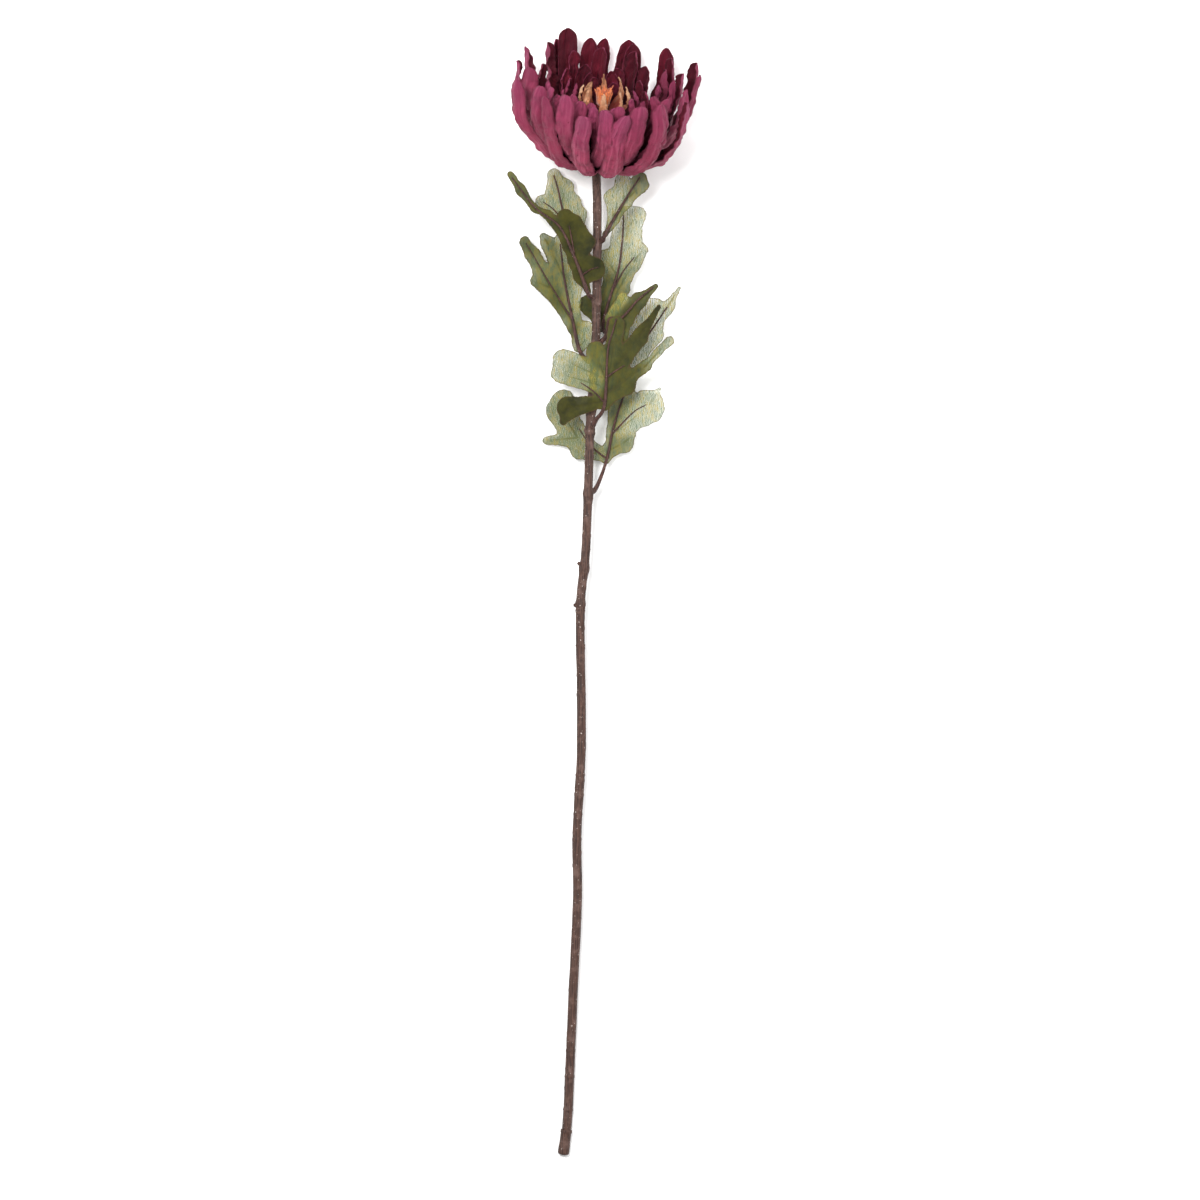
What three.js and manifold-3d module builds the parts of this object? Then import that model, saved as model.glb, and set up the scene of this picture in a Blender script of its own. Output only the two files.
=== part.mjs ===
// An artificial spider chrysanthemum on a long stem, lying on a table with its face tipped up.
// Moulded stem with leaf pegs, an end cap, lobed fabric leaves on plugged-in plastic stalks,
// and a bowl of fabric petals cut in whorls and threaded on a post.
// Millimetres. +Y runs from the cut end to the flower and +Z is up, away from the table.
// The origin is on the table, under the middle of the whole piece.
import * as THREE from "three";
import { mergeVertices } from "three/addons/utils/BufferGeometryUtils.js";
import Module from "manifold-3d";

const wasm = await Module();
wasm.setup();

// ---- Driving dimensions -------------------------------------------------------------------
const clearance = 0.3; // between two pieces that touch
const tableGap = 0.05; // lowest point of a pressed blade or petal above the table

const stem = {
  radiusFoot: 3.4,
  radiusNeck: 3.05,
  sides: 8,
  rings: 56,
  nodeSwell: 0.5, // how far the ring under each peg stands out
  nodeSpan: 5,
  // Centre line from the foot to the neck.
  route: [
    [-25, 3, 4.2],
    [-22, 31, 5.3],
    [-18, 121, 9.1],
    [-14.6, 196, 12.3],
    [-15, 242, 14.2],
    [-11.8, 302, 16.8],
    [-11.6, 345, 18.6],
    [-12.3, 415, 21.5],
    [-8.4, 456, 23.2],
    [-6.4, 505, 25.3],
    [-4.6, 560, 27.6],
    [-1.2, 605, 29.4],
    [0, 650, 31.3],
    [0.4, 705, 33.4],
    [0.2, 728, 34.3],
    [-0.3, 744, 39.1],
  ],
};

// end is how far the cap goes on past the stem's foot, and bore is its room round the stem.
const cap = { radius: 4.7, length: 19, end: 3, bore: 0.54 };

const peg = { radius: 1.9, tipRadius: 1.6, length: 6.5, sides: 6 };

// Bare pegs that carry no leaf: distance along +Y and the way they point.
const stubs = [
  { at: 446, points: [-1, 0.75, 0.25], length: 6.2 },
  { at: 417, points: [-1, 0.1, 0.1], length: 5.4 },
];

const head = {
  place: [0.6, 752.7, 43.4], // the foot of the flower post
  tiltUp: 26, // degrees that the flower's axis rises from the table
  lean: 6, // degrees that it leans to +X
  floorRound: 2.2, // how softly a petal flattens against the table
};

const post = { radius: 3, bore: 1.9, boreDepth: 9, foot: -7.4, top: 44 };
const calyx = { foot: 4.1, waist: 7.1, rim: 12, low: -9, middle: -6.5, high: -3.2, lip: 0.4 };
const tuft = { radius: 8, height: 15 };

const petal = { thickness: 0.8, columns: 2, rootRadius: 7.2, rootShare: 3.2 / 15 };
const hub = { outer: 9, drop: 2.6, gap: 0.35 }; // drop is from the petals' roots to its foot

// Whorls from the outside in. Each profile runs from its hub out and up to the petal tips:
// [distance from the axis, height above the flower's foot] of the three free curve points.
const whorls = [
  { name: "petal_whorl_1", count: 14, first: 0.1, level: 0, width: 17, cup: 3, rows: 5,
    profile: [[50, -12], [81, 28], [69, 75]] },
  { name: "petal_whorl_2", count: 14, first: 0.55, level: 6, width: 16.5, cup: 3, rows: 5,
    profile: [[47, -3], [72, 33], [60, 75]] },
  { name: "petal_whorl_3", count: 12, first: 0.12, level: 12, width: 15.5, cup: 2.6, rows: 4,
    profile: [[41, 6], [62, 36], [50, 68]] },
  { name: "petal_whorl_4", count: 11, first: 0.4, level: 18, width: 14, cup: 2.4, rows: 4,
    profile: [[35, 13], [52, 38], [40, 62]] },
  { name: "petal_whorl_5", count: 10, first: 0.2, level: 24, width: 12, cup: 2, rows: 4,
    profile: [[28, 20], [42, 40], [31, 58]] },
  { name: "petal_whorl_6", count: 8, first: 0.5, level: 30, width: 10.5, cup: 1.6, rows: 4,
    profile: [[22, 27], [32, 42], [22, 55]] },
  { name: "centre_whorl", count: 8, first: 0.1, level: 36, width: 6.5, cup: 1, rows: 3,
    profile: [[15, 34], [21, 44], [14, 53]] },
];
const riseSpread = 0.07; // share of its length by which one petal differs from the next
const swayAngle = 0.05; // radians that a tip wanders round the axis
const petalShare = 0.8; // most of its whorl's circle that the petals of one whorl may fill

const blade = { thickness: 0.7, cell: 8.4, reach: 20, blend: 1.5, leastHalf: 3.4 };
const stalk = { foot: 2, neck: 1.3, tip: 0.5, vein: 0.7, sides: 6, rings: 12, gap: 0.5 };

// Leaves in the order that they leave the stem. foot is where the blade starts, via is the
// stalk's way there from the stem, and slope is the blade's rise per mm to +X and +Y.
// Ribs lie on top of the blade, in mm from the foot; the first is the midrib.
// A lobe is [root x, root y, tip x, tip y, half width at root, half width at tip, tip lift].
const leaves = [
  { name: "leaf_1", from: 501, via: [[0, 507, 20]], foot: [7.5, 527.5, 12], slope: [0, -0.06],
    ribs: [[[5, 24], [11, 43], [16, 56]], [[0, 1], [-12, 11], [-21, 24]],
      [[4.4, 20], [20, 36], [30, 42]]],
    lobes: [[0, 1, -22, 17, 3, 8, 0], [-22, 17, -35, 38, 9, 11, -6], [-30, 32, -33, 46, 8, 8, -6],
      [-22, 17, -45, 15, 6, 3.4, -3], [-8, 5, -21, 6.5, 5, 6, -2], [0, 0, 11, 44, 2, 9, 0],
      [8, 22, 31, 40, 6, 13, 3], [33, 42, 40, 54, 7, 1.2, 5], [3, 8, 13, 13, 5, 7.5, -2],
      [13, 13, 20, 19, 5, 1.6, -2], [11, 40, 14, 60, 9, 9, 2]] },
  { name: "leaf_2", from: 549, via: [[-0.5, 557, 34]], foot: [6, 569, 38], slope: [0, 0.08],
    ribs: [[[2.3, 39], [6, 54], [9, 64]], [[0, 1], [-9, 10], [-18, 16]],
      [[1.5, 20], [7, 24], [15, 29]]],
    lobes: [[0, 0, 9, 60, 5, 6, 1], [-2, 20, -31, 33, 9, 8.5, -5], [-4, 14, -34, 23, 7, 6.5, -5],
      [-1, 2, -27, -3, 4, 8.5, 3], [-27, -3, -31, -13, 7, 3, 2], [0, 20, -7, 40, 8, 7, 0],
      [3, 20, 26, 50, 8, 5.5, 0], [26, 50, 41, 73, 5.5, 1.4, -2], [2, 8, 30, 28, 7, 4, -4],
      [30, 28, 49, 48, 3, 3.4, -6], [3, 10, 15, 14, 8, 8, -3]] },
  { name: "leaf_3", from: 565, via: [[4, 571, 22]], foot: [8.3, 582, 18], slope: [0.08, 0],
    ribs: [[[16, 19], [31.5, 41], [45, 61]]],
    lobes: [[0, 0, 31.5, 41, 6, 7, 0], [31.5, 41, 45, 61, 7, 3.5, 0], [45, 61, 54, 75, 3.5, 1.4, 3],
      [18, 25, 34, 60, 6, 8.5, -1], [8, 12, 22, 45, 6, 6.5, 2], [15, 18, 35, 40, 6, 7, -3],
      [10, 12, 25, 26, 6, 5, -2], [42, 58, 48, 62, 4, 2, 0]] },
  { name: "leaf_4", from: 600, via: [[-8, 603, 25]], foot: [-13.6, 612, 22], slope: [0.05, -0.05],
    ribs: [[[-5, 23], [-11, 53], [-14, 79]], [[-4, 20], [-22, 49], [-40, 80]]],
    lobes: [[0, 0, -5, 23, 3, 5, 0], [-5, 23, -11, 53, 6, 6, 0], [-11, 53, -23, 79, 6, 5, 2],
      [-23, 79, -27, 85, 4.5, 2.6, 2], [-5, 23, -3, 52, 5, 6, -2], [-3, 52, -12, 82, 6, 6, 0],
      [-4, 18, -22, 48, 4, 8, -2], [-22, 48, -35, 71, 8, 5, -3], [-35, 71, -41, 81, 5, 4.2, -1],
      [-22, 46, -33, 51, 5, 4, -3], [1, 2, 8, 9, 4, 7.5, 0], [2, 6, 6, 15, 5, 5, 0]] },
  { name: "leaf_5", from: 606, via: [[7, 612, 24], [8, 621, 17]], foot: [4.5, 629, 13.5],
    slope: [0, 0.03],
    ribs: [[[5, 20], [12, 43], [15, 66], [16, 84]], [[7, 26], [16, 42], [24, 52]]],
    lobes: [[0, 4, 12, 43, 8, 9, 0], [12, 43, 18, 66, 9, 11, 0], [18, 66, 20.5, 81, 11, 10.5, -2],
      [18, 74, 28, 85, 7, 5, -2], [10, 24, 24, 49, 5, 5.5, 4], [24, 49, 30, 58, 5.5, 4.2, 5],
      [0, 8, -10, 16, 7, 8, 0], [5, 14, 15, 27, 6, 5, 0], [10, 40, 2, 51, 7, 7, -1],
      [0, 2, 7, 6, 5, 6, 0]] },
  { name: "leaf_6", from: 613, via: [[6.8, 620, 35]], foot: [9.8, 633, 37], slope: [0.04, 0.03],
    ribs: [[[9, 1], [21, 14], [33, 24]]],
    lobes: [[0, 0, 9, 0, 3, 7, 0], [9, 0, 22, 14, 8, 5.5, 1], [22, 14, 35, 25, 5, 1.8, 2],
      [9, -2, 9, -15, 6, 4.5, -1], [2, 3, 10, 16, 4, 4, -2], [9, -10, 7, -24, 3, 2.4, -2]] },
  { name: "leaf_7", from: 648, via: [[-4.5, 650, 37.5]], foot: [-6.8, 653, 40.5],
    slope: [-0.06, 0.03],
    ribs: [[[-9, 24], [-21, 49], [-39, 63], [-57, 86]], [[-4, 13], [2, 17], [8, 19]],
      [[-10, 28], [-12, 40], [-14, 50]]],
    lobes: [[0, 1, -9, 24, 2.6, 4, 0], [-9, 22, -8, 40, 5, 10, 1], [-9, 38, -17, 57, 10, 5.5, 3],
      [-8, 40, -11, 52, 9, 7, 2], [-7, 32, 1, 38, 8, 5, -1], [-4, 13, 4, 18, 7, 9.5, -1],
      [-16, 42, -30, 58, 5, 3, 1], [-30, 58, -39, 62, 3, 2.2, 0], [-39, 62, -50, 76, 2.2, 3.4, -1],
      [-50, 76, -58, 89, 3.4, 2.4, -3]] },
  { name: "leaf_8", from: 665, via: [[-5, 666, 24], [-5, 671, 15]], foot: [-10.5, 677.5, 9.5],
    slope: [0, 0.02],
    ribs: [[[-13, 32], [-19, 56], [-22, 66]], [[-11, 27], [-22, 40], [-30, 46]]],
    lobes: [[0, 0, -12, 30, 4, 9, 0], [-12, 30, -19, 55, 10, 9, 0], [-19, 55, -22, 66, 8, 5, 1],
      [-10, 26, -10, 44, 8, 9, 0], [-8, 24, -4, 36, 7, 7, 2], [-14, 28, -31, 46, 7, 5.2, -3],
      [-16, 45, -13, 57, 8, 6, 0]] },
  { name: "leaf_9", from: 691, via: [[4.4, 692.5, 36.5]], foot: [6.6, 697, 38.6], slope: [-0.02, -0.06],
    ribs: [[[9, 16], [18, 31], [26, 43]]],
    lobes: [[0, 0, 26, 42, 2.2, 5, 0], [6, 9, 5, 28, 2, 6.2, -2], [14, 24, 13, 40, 5, 6, -1],
      [18, 28, 27, 37, 4, 5.5, 2], [5, 10, 12, 32, 2.5, 6, -1]] },
];

// ---- Small helpers ------------------------------------------------------------------------
const vector = (values) => new THREE.Vector3(...values);
const radians = THREE.MathUtils.degToRad;
const mix = THREE.MathUtils.lerp;

// A repeatable number from -1 to 1.
function vary(seed) {
  const value = Math.sin(seed * 12.9898) * 43758.5453;
  return 2 * (value - Math.floor(value)) - 1;
}

// Height z flattened against the table, easing in over `round` on either side of it.
function pressed(z, lowest, round) {
  const over = THREE.MathUtils.clamp(z - lowest, -round, Infinity);
  return lowest + (over < round ? (over + round) ** 2 / (4 * round) : over);
}

function solidFrom(geometry) {
  const bare = geometry.clone();
  bare.deleteAttribute("normal");
  bare.deleteAttribute("uv");
  const merged = mergeVertices(bare, 1e-4);
  return new wasm.Manifold(
    new wasm.Mesh({
      numProp: 3,
      vertProperties: merged.attributes.position.array,
      triVerts: new Uint32Array(merged.index.array),
    }),
  );
}

function geometryFrom(solid) {
  const mesh = solid.getMesh();
  const geometry = new THREE.BufferGeometry();
  geometry.setAttribute("position", new THREE.BufferAttribute(mesh.vertProperties, 3));
  geometry.setIndex(new THREE.BufferAttribute(mesh.triVerts, 1));
  return geometry;
}

function union(geometries) {
  return geometryFrom(geometries.map(solidFrom).reduce((sum, next) => sum.add(next)));
}

function subtract(geometry, tool) {
  return geometryFrom(solidFrom(geometry).subtract(solidFrom(tool)));
}

// Closes rings of points into one skin. Every ring has the same number of points and goes round
// the outside; the first and last are closed with a fan.
function loft(rings) {
  const sides = rings[0].length;
  const points = rings.flat();
  const middle = (ring) =>
    ring.reduce((sum, p) => sum.add(p), new THREE.Vector3()).divideScalar(sides);
  points.push(middle(rings[0]), middle(rings.at(-1)));
  const faces = [];
  for (let r = 0; r + 1 < rings.length; r++)
    for (let s = 0; s < sides; s++) {
      const next = (s + 1) % sides;
      const [a, b] = [r * sides + s, r * sides + next];
      faces.push(a, b, b + sides, a, b + sides, a + sides);
    }
  const last = (rings.length - 1) * sides;
  for (let s = 0; s < sides; s++) {
    const next = (s + 1) % sides;
    faces.push(points.length - 2, next, s);
    faces.push(points.length - 1, last + s, last + next);
  }
  return facingOut(points, faces);
}

function facingOut(points, faces) {
  const geometry = new THREE.BufferGeometry().setFromPoints(points);
  let volume = 0;
  for (let i = 0; i < faces.length; i += 3) {
    const [a, b, c] = [points[faces[i]], points[faces[i + 1]], points[faces[i + 2]]];
    volume += a.dot(b.clone().cross(c));
  }
  geometry.setIndex(volume < 0 ? faces.toReversed() : faces);
  return geometry;
}

// A round bar along a curve, with its radius given at each share of the length.
function bar(curve, radiusAt, sides, rings, from = 0, to = 1) {
  const made = [];
  const side = new THREE.Vector3();
  const up = new THREE.Vector3(0, 0, 1);
  for (let r = 0; r <= rings; r++) {
    const u = mix(from, to, r / rings);
    const [centre, tangent] = [curve.getPointAt(u), curve.getTangentAt(u)];
    side.crossVectors(tangent, up).normalize();
    const over = side.clone().cross(tangent);
    made.push(
      Array.from({ length: sides }, (_, s) => {
        const angle = (2 * Math.PI * s) / sides;
        return centre
          .clone()
          .addScaledVector(side, radiusAt(u) * Math.cos(angle))
          .addScaledVector(over, radiusAt(u) * Math.sin(angle));
      }),
    );
  }
  return loft(made);
}

// A thin sheet as a closed solid: rows of points down the middle of its thickness.
function sheet(rows, thickness) {
  const columns = rows[0].length;
  const at = (r, c) =>
    rows[THREE.MathUtils.clamp(r, 0, rows.length - 1)][THREE.MathUtils.clamp(c, 0, columns - 1)];
  const faceOf = (sign) =>
    rows.map((row, r) =>
      row.map((point, c) => {
        const along = at(r + 1, c).clone().sub(at(r - 1, c));
        const across = at(r, c + 1).clone().sub(at(r, c - 1));
        const normal = along.cross(across).normalize();
        return point.clone().addScaledVector(normal, (sign * thickness) / 2);
      }),
    );
  const [over, under] = [faceOf(1), faceOf(-1)];
  return loft(over.map((row, r) => [...row, ...under[r].toReversed()]));
}

// A lathe about local +Z.
function turned(profile, segments) {
  const outline = profile.map(([radius, height]) => new THREE.Vector2(radius, height));
  return new THREE.LatheGeometry(outline, segments).rotateX(Math.PI / 2);
}

function part(name, geometry, look) {
  const mesh = new THREE.Mesh(geometry, look.clone());
  mesh.name = name;
  return mesh;
}

// ---- Finishes -----------------------------------------------------------------------------
const finish = (color, roughness) =>
  new THREE.MeshStandardMaterial({ color, roughness, metalness: 0, side: THREE.DoubleSide });
const bark = finish(0x5f4e47, 0.55);
const wine = finish(0x9a3a5c, 0.8);
const cream = finish(0xc98a63, 0.8);
const rust = finish(0xb0541f, 0.85);
const sage = finish(0x6b7340, 0.7);
const sepal = finish(0x4a4d2c, 0.6);

// ---- Stem ---------------------------------------------------------------------------------
const stemCurve = new THREE.CatmullRomCurve3(stem.route.map(vector), false, "catmullrom", 0.5);
stemCurve.arcLengthDivisions = 600;

// The share of the stem's length at which it reaches a distance along +Y.
function stemShare(distance) {
  let [low, high] = [0, 1];
  while (high - low > 1e-5) {
    const middle = (low + high) / 2;
    if (stemCurve.getPointAt(middle).y < distance) low = middle;
    else high = middle;
  }
  return low;
}

function makeStem() {
  const length = stemCurve.getLength();
  const swellings = [...leaves.map((leaf) => leaf.from), ...stubs.map((s) => s.at)];
  const shares = swellings.map(stemShare);
  const radiusAt = (u) => {
    const near = shares.map((share) => {
      const away = ((u - share) * length) / stem.nodeSpan;
      return Math.exp(-away * away);
    });
    return mix(stem.radiusFoot, stem.radiusNeck, u) + stem.nodeSwell * Math.max(...near);
  };
  const trunk = bar(stemCurve, radiusAt, stem.sides, stem.rings);
  const pegs = leaves.map((leaf) => {
    const curve = stalkCurve(leaf);
    const share = peg.length / curve.getLength();
    const taper = (u) => mix(peg.radius, peg.tipRadius, u / share);
    return bar(curve, taper, peg.sides, 2, 0, share);
  });
  const bare = stubs.map((stub) => {
    const foot = stemCurve.getPointAt(stemShare(stub.at));
    const reach = vector(stub.points).setLength(stub.length);
    const curve = new THREE.LineCurve3(foot, foot.clone().add(reach));
    return bar(curve, (u) => mix(peg.radius, peg.tipRadius * 0.8, u), peg.sides, 1);
  });
  // The neck ends in a thin peg that the flower post is pushed onto.
  const neck = stemCurve.getPointAt(1);
  const axis = flowerAxis();
  const neckPeg = new THREE.LineCurve3(
    neck.clone().addScaledVector(axis, -2),
    neck.clone().addScaledVector(axis, post.boreDepth - 0.5),
  );
  const tip = bar(neckPeg, () => post.bore - clearance, peg.sides, 1);
  return part("main_stem", union([trunk, ...pegs, ...bare, tip]), bark);
}

function makeCap() {
  const [foot, tangent] = [stemCurve.getPointAt(0), stemCurve.getTangentAt(0)];
  const start = foot.clone().addScaledVector(tangent, -cap.end - clearance);
  const line = new THREE.LineCurve3(start, start.clone().addScaledVector(tangent, cap.length));
  const rounded = (u) => cap.radius * Math.sqrt(1 - (1 - Math.min(1, u / 0.12 + 0.35)) ** 2);
  const shell = bar(line, rounded, 12, 6);
  const bore = new THREE.LineCurve3(
    foot.clone().addScaledVector(tangent, -clearance),
    start.clone().addScaledVector(tangent, cap.length + 1),
  );
  return part(
    "end_cap",
    subtract(shell, bar(bore, () => stem.radiusFoot + cap.bore, 12, 1)),
    bark,
  );
}

// ---- Leaves -------------------------------------------------------------------------------
// How far a point is outside one lobe, and its share of the way from the root to the tip.
function fromLobe([rootX, rootY, tipX, tipY, rootHalf, tipHalf], x, y) {
  const [runX, runY] = [tipX - rootX, tipY - rootY];
  const along = ((x - rootX) * runX + (y - rootY) * runY) / (runX * runX + runY * runY);
  const share = THREE.MathUtils.clamp(along, 0, 1);
  const away = Math.hypot(x - rootX - share * runX, y - rootY - share * runY);
  return [away - Math.max(mix(rootHalf, tipHalf, share), blade.leastHalf), share];
}

// How far a point is outside the blade, with the bays between lobes rounded off.
function outside(leaf, x, y) {
  const pull = (lobe) => Math.exp(-fromLobe(lobe, x, y)[0] / blade.blend);
  return -blade.blend * Math.log(leaf.lobes.reduce((sum, lobe) => sum + pull(lobe), 0));
}

// Height of the blade's middle surface; every lobe bends up or down towards its own tip.
function bladeHeight(leaf, x, y) {
  let [lift, weight] = [0, 0];
  for (const lobe of leaf.lobes) {
    const [away, share] = fromLobe(lobe, x, y);
    const pull = Math.exp(-away / 4);
    lift += pull * lobe[6] * share * share;
    weight += pull;
  }
  const flat = leaf.foot[2] + leaf.slope[0] * x + leaf.slope[1] * y;
  return pressed(flat + lift / weight, blade.thickness / 2 + tableGap, 1.5);
}

// A grid of triangles over the blade, cut off at its edge.
function bladeFaces(leaf) {
  const [points, faces] = [[], []];
  const known = new Map();
  const add = (key, x, y) => {
    if (!known.has(key)) {
      known.set(key, points.length);
      points.push([x, y]);
    }
    return known.get(key);
  };
  const corner = (i, j) => ({
    key: i + "/" + j,
    x: (i + j / 2) * blade.cell,
    y: j * blade.cell * 0.87,
  });
  const whole = (p) => add(p.key, p.x, p.y);
  const crossing = (p, q) => {
    const [first, second] = p.key < q.key ? [p, q] : [q, p];
    const share = THREE.MathUtils.clamp(first.out / (first.out - second.out), 0.12, 0.88);
    const key = first.key + ":" + second.key;
    return add(key, mix(first.x, second.x, share), mix(first.y, second.y, share));
  };
  const triangle = (corners) => {
    for (const p of corners) p.out = outside(leaf, p.x, p.y);
    const kept = corners.filter((p) => p.out < 0).length;
    if (kept === 0) return;
    while (corners[0].out >= 0 || (kept === 2 && corners[1].out >= 0)) {
      corners.push(corners.shift());
    }
    const [a, b, c] = corners;
    if (kept === 3) faces.push([whole(a), whole(b), whole(c)]);
    if (kept === 1) faces.push([whole(a), crossing(a, b), crossing(a, c)]);
    if (kept === 2) {
      faces.push([whole(a), whole(b), crossing(b, c)]);
      faces.push([whole(a), crossing(b, c), crossing(a, c)]);
    }
  };
  for (let j = -blade.reach; j < blade.reach; j++)
    for (let i = -blade.reach; i < blade.reach; i++) {
      triangle([corner(i, j), corner(i + 1, j), corner(i, j + 1)]);
      triangle([corner(i + 1, j), corner(i + 1, j + 1), corner(i, j + 1)]);
    }
  return { points, faces };
}

// Two skins of the same triangles, with a wall round every open edge.
function makeBlade(leaf) {
  const { points, faces } = bladeFaces(leaf);
  const count = points.length;
  const skin = [1, -1].flatMap((sign) =>
    points.map(([x, y]) => {
      const z = bladeHeight(leaf, x, y) + (sign * blade.thickness) / 2;
      return new THREE.Vector3(leaf.foot[0] + x, leaf.foot[1] + y, z);
    }),
  );
  const edges = new Set(faces.flatMap(([a, b, c]) => [a + "," + b, b + "," + c, c + "," + a]));
  const index = faces.flatMap(([a, b, c]) => [a, b, c, count + c, count + b, count + a]);
  for (const edge of edges) {
    const [a, b] = edge.split(",").map(Number);
    if (!edges.has(b + "," + a)) index.push(b, a, count + a, b, count + a, count + b);
  }
  const curve = stalkCurve(leaf);
  const around = (u) => stalkRadius(curve, u) + clearance;
  const room = bar(curve, around, stalk.sides, stalk.rings, stalkStart(curve));
  return part(leaf.name + "_blade", subtract(facingOut(skin, index), room), sage);
}

// A point of a rib, lying against the blade.
function ribPoint(leaf, [x, y], radius) {
  const off = blade.thickness / 2 + stalk.gap + radius;
  return new THREE.Vector3(leaf.foot[0] + x, leaf.foot[1] + y, bladeHeight(leaf, x, y) + off);
}

function stalkCurve(leaf) {
  const rib = [[0, 0], ...leaf.ribs[0]].map((place) => ribPoint(leaf, place, stalk.neck));
  const route = [stemCurve.getPointAt(stemShare(leaf.from)), ...leaf.via.map(vector), ...rib];
  return new THREE.CatmullRomCurve3(route, false, "catmullrom", 0.5);
}

function stalkStart(curve) {
  return (peg.length + clearance) / curve.getLength();
}

function stalkRadius(curve, u) {
  const from = stalkStart(curve);
  return mix(stalk.foot, stalk.tip, Math.sqrt(Math.max(0, (u - from) / (1 - from))));
}

function makeStalk(leaf) {
  const curve = stalkCurve(leaf);
  const taper = (u) => stalkRadius(curve, u);
  const main = bar(curve, taper, stalk.sides, stalk.rings, stalkStart(curve));
  const veins = leaf.ribs.slice(1).map((rib) => {
    const route = rib.map((place) => ribPoint(leaf, place, stalk.vein));
    const vein = new THREE.CatmullRomCurve3(route, false, "catmullrom", 0.5);
    return bar(vein, (u) => mix(stalk.vein, stalk.tip * 0.8, u), stalk.sides, 4);
  });
  return part(leaf.name + "_stalk", union([main, ...veins]), bark);
}

// ---- Flower -------------------------------------------------------------------------------
// The flower is built about its own +Z, with its local -Y side facing up from the table.
const leaning = new THREE.Group();
leaning.position.set(...head.place);
leaning.rotation.z = radians(-head.lean);
const flower = new THREE.Group();
flower.rotation.x = radians(head.tiltUp - 90);
leaning.add(flower);
leaning.updateMatrixWorld(true);

function flowerAxis() {
  return new THREE.Vector3(0, 0, 1).transformDirection(flower.matrixWorld);
}

// A petal point of the flower, flattened where it would go through the table.
function onTable(point) {
  const placed = flower.localToWorld(point.clone());
  placed.z = pressed(placed.z, petal.thickness / 2 + tableGap, head.floorRound);
  return flower.worldToLocal(placed);
}

// Width of a petal at a share of its length, as a share of its full width.
function petalWidth(share) {
  const root = petal.rootShare;
  const belly = THREE.MathUtils.smoothstep(share, 0, 0.3);
  const tip = Math.sqrt(1 - Math.max(0, (share - 0.72) / 0.3) ** 2);
  return mix(root, 1, belly) * tip;
}

function makePetal(whorl, index) {
  const [out, belly, tip] = whorl.profile;
  const seed = index + whorl.level * 7;
  const length = Math.min(1, 1 + riseSpread * vary(seed));
  const sway = swayAngle * vary(seed + 0.5);
  const curve = new THREE.CubicBezierCurve3(
    new THREE.Vector3(petal.rootRadius, 0, whorl.level),
    new THREE.Vector3(out[0], 0, out[1]),
    new THREE.Vector3(belly[0], 0, belly[1]),
    new THREE.Vector3(tip[0], 0, tip[1]),
  );
  const rows = [];
  for (let r = 0; r <= whorl.rows; r++) {
    const share = 1 - (1 - r / whorl.rows) ** 1.4; // closer rows towards the rounded tip
    const along = share * length;
    const middle = curve.getPointAt(along);
    const tangent = curve.getTangentAt(along);
    const inward = new THREE.Vector3(-tangent.z, 0, tangent.x);
    const angle = ((index + whorl.first) * 2 * Math.PI) / whorl.count + sway * share * share;
    const room = (petalShare * Math.PI * middle.x) / whorl.count;
    const half = Math.min((whorl.width * petalWidth(share)) / 2, room);
    const row = [];
    for (let c = -petal.columns / 2; c <= petal.columns / 2; c++) {
      const edge = c / (petal.columns / 2);
      const at = middle.clone().addScaledVector(inward, whorl.cup * petalWidth(share) * edge ** 2);
      at.y = half * edge;
      row.push(onTable(at.applyAxisAngle(new THREE.Vector3(0, 0, 1), angle)));
    }
    rows.push(row);
  }
  return sheet(rows, petal.thickness);
}

function makeWhorl(whorl, above) {
  const bore = post.radius + clearance;
  const [low, high] = [whorl.level - hub.drop, above - hub.drop - hub.gap];
  const ring = turned(
    [[bore, low], [hub.outer, low], [hub.outer, high], [bore, high], [bore, low]],
    whorl.count,
  );
  // A flat of the hub stands behind each petal.
  ring.rotateZ(Math.PI / 2 + ((whorl.first + 0.5) * 2 * Math.PI) / whorl.count);
  const petals = Array.from({ length: whorl.count }, (_, i) => makePetal(whorl, i));
  const color = whorl.name === "centre_whorl" ? cream : wine;
  return part(whorl.name, union([ring, ...petals]), color);
}

function makePost() {
  const [low, high] = [post.foot, post.top];
  const shaft = turned([[0, low], [post.radius, low], [post.radius, high], [0, high]], 12);
  const hole = turned(
    [[0, low - 1], [post.bore, low - 1], [post.bore, low + post.boreDepth],
      [0, low + post.boreDepth]],
    10,
  );
  return part("flower_post", subtract(shaft, hole), sepal);
}

function makeCalyx() {
  const bore = post.radius + clearance;
  return part(
    "calyx",
    turned(
      [[bore, calyx.low], [calyx.foot, calyx.low], [calyx.waist, calyx.middle],
        [calyx.rim, calyx.high - calyx.lip], [calyx.rim - 1, calyx.high], [bore, calyx.high],
        [bore, calyx.low]],
      14,
    ),
    sepal,
  );
}

function makeTuft() {
  const foot = post.top + clearance;
  const dome = Array.from({ length: 6 }, (_, i) => {
    const angle = (i / 5) * (Math.PI / 2);
    return [tuft.radius * Math.cos(angle), foot + 4 + (tuft.height - 4) * Math.sin(angle)];
  });
  dome[5][0] = 0;
  return part("centre_tuft", turned([[0, foot], [tuft.radius * 0.7, foot], ...dome], 12), rust);
}

// ---- Assembly -----------------------------------------------------------------------------
whorls.forEach((whorl, i) => {
  const above = whorls[i + 1]?.level ?? post.top + 2;
  flower.add(makeWhorl(whorl, above));
});
flower.add(makePost(), makeCalyx(), makeTuft());

const spray = new THREE.Group();
spray.add(makeStem(), makeCap(), leaning);
for (const leaf of leaves) spray.add(makeBlade(leaf), makeStalk(leaf));

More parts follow.
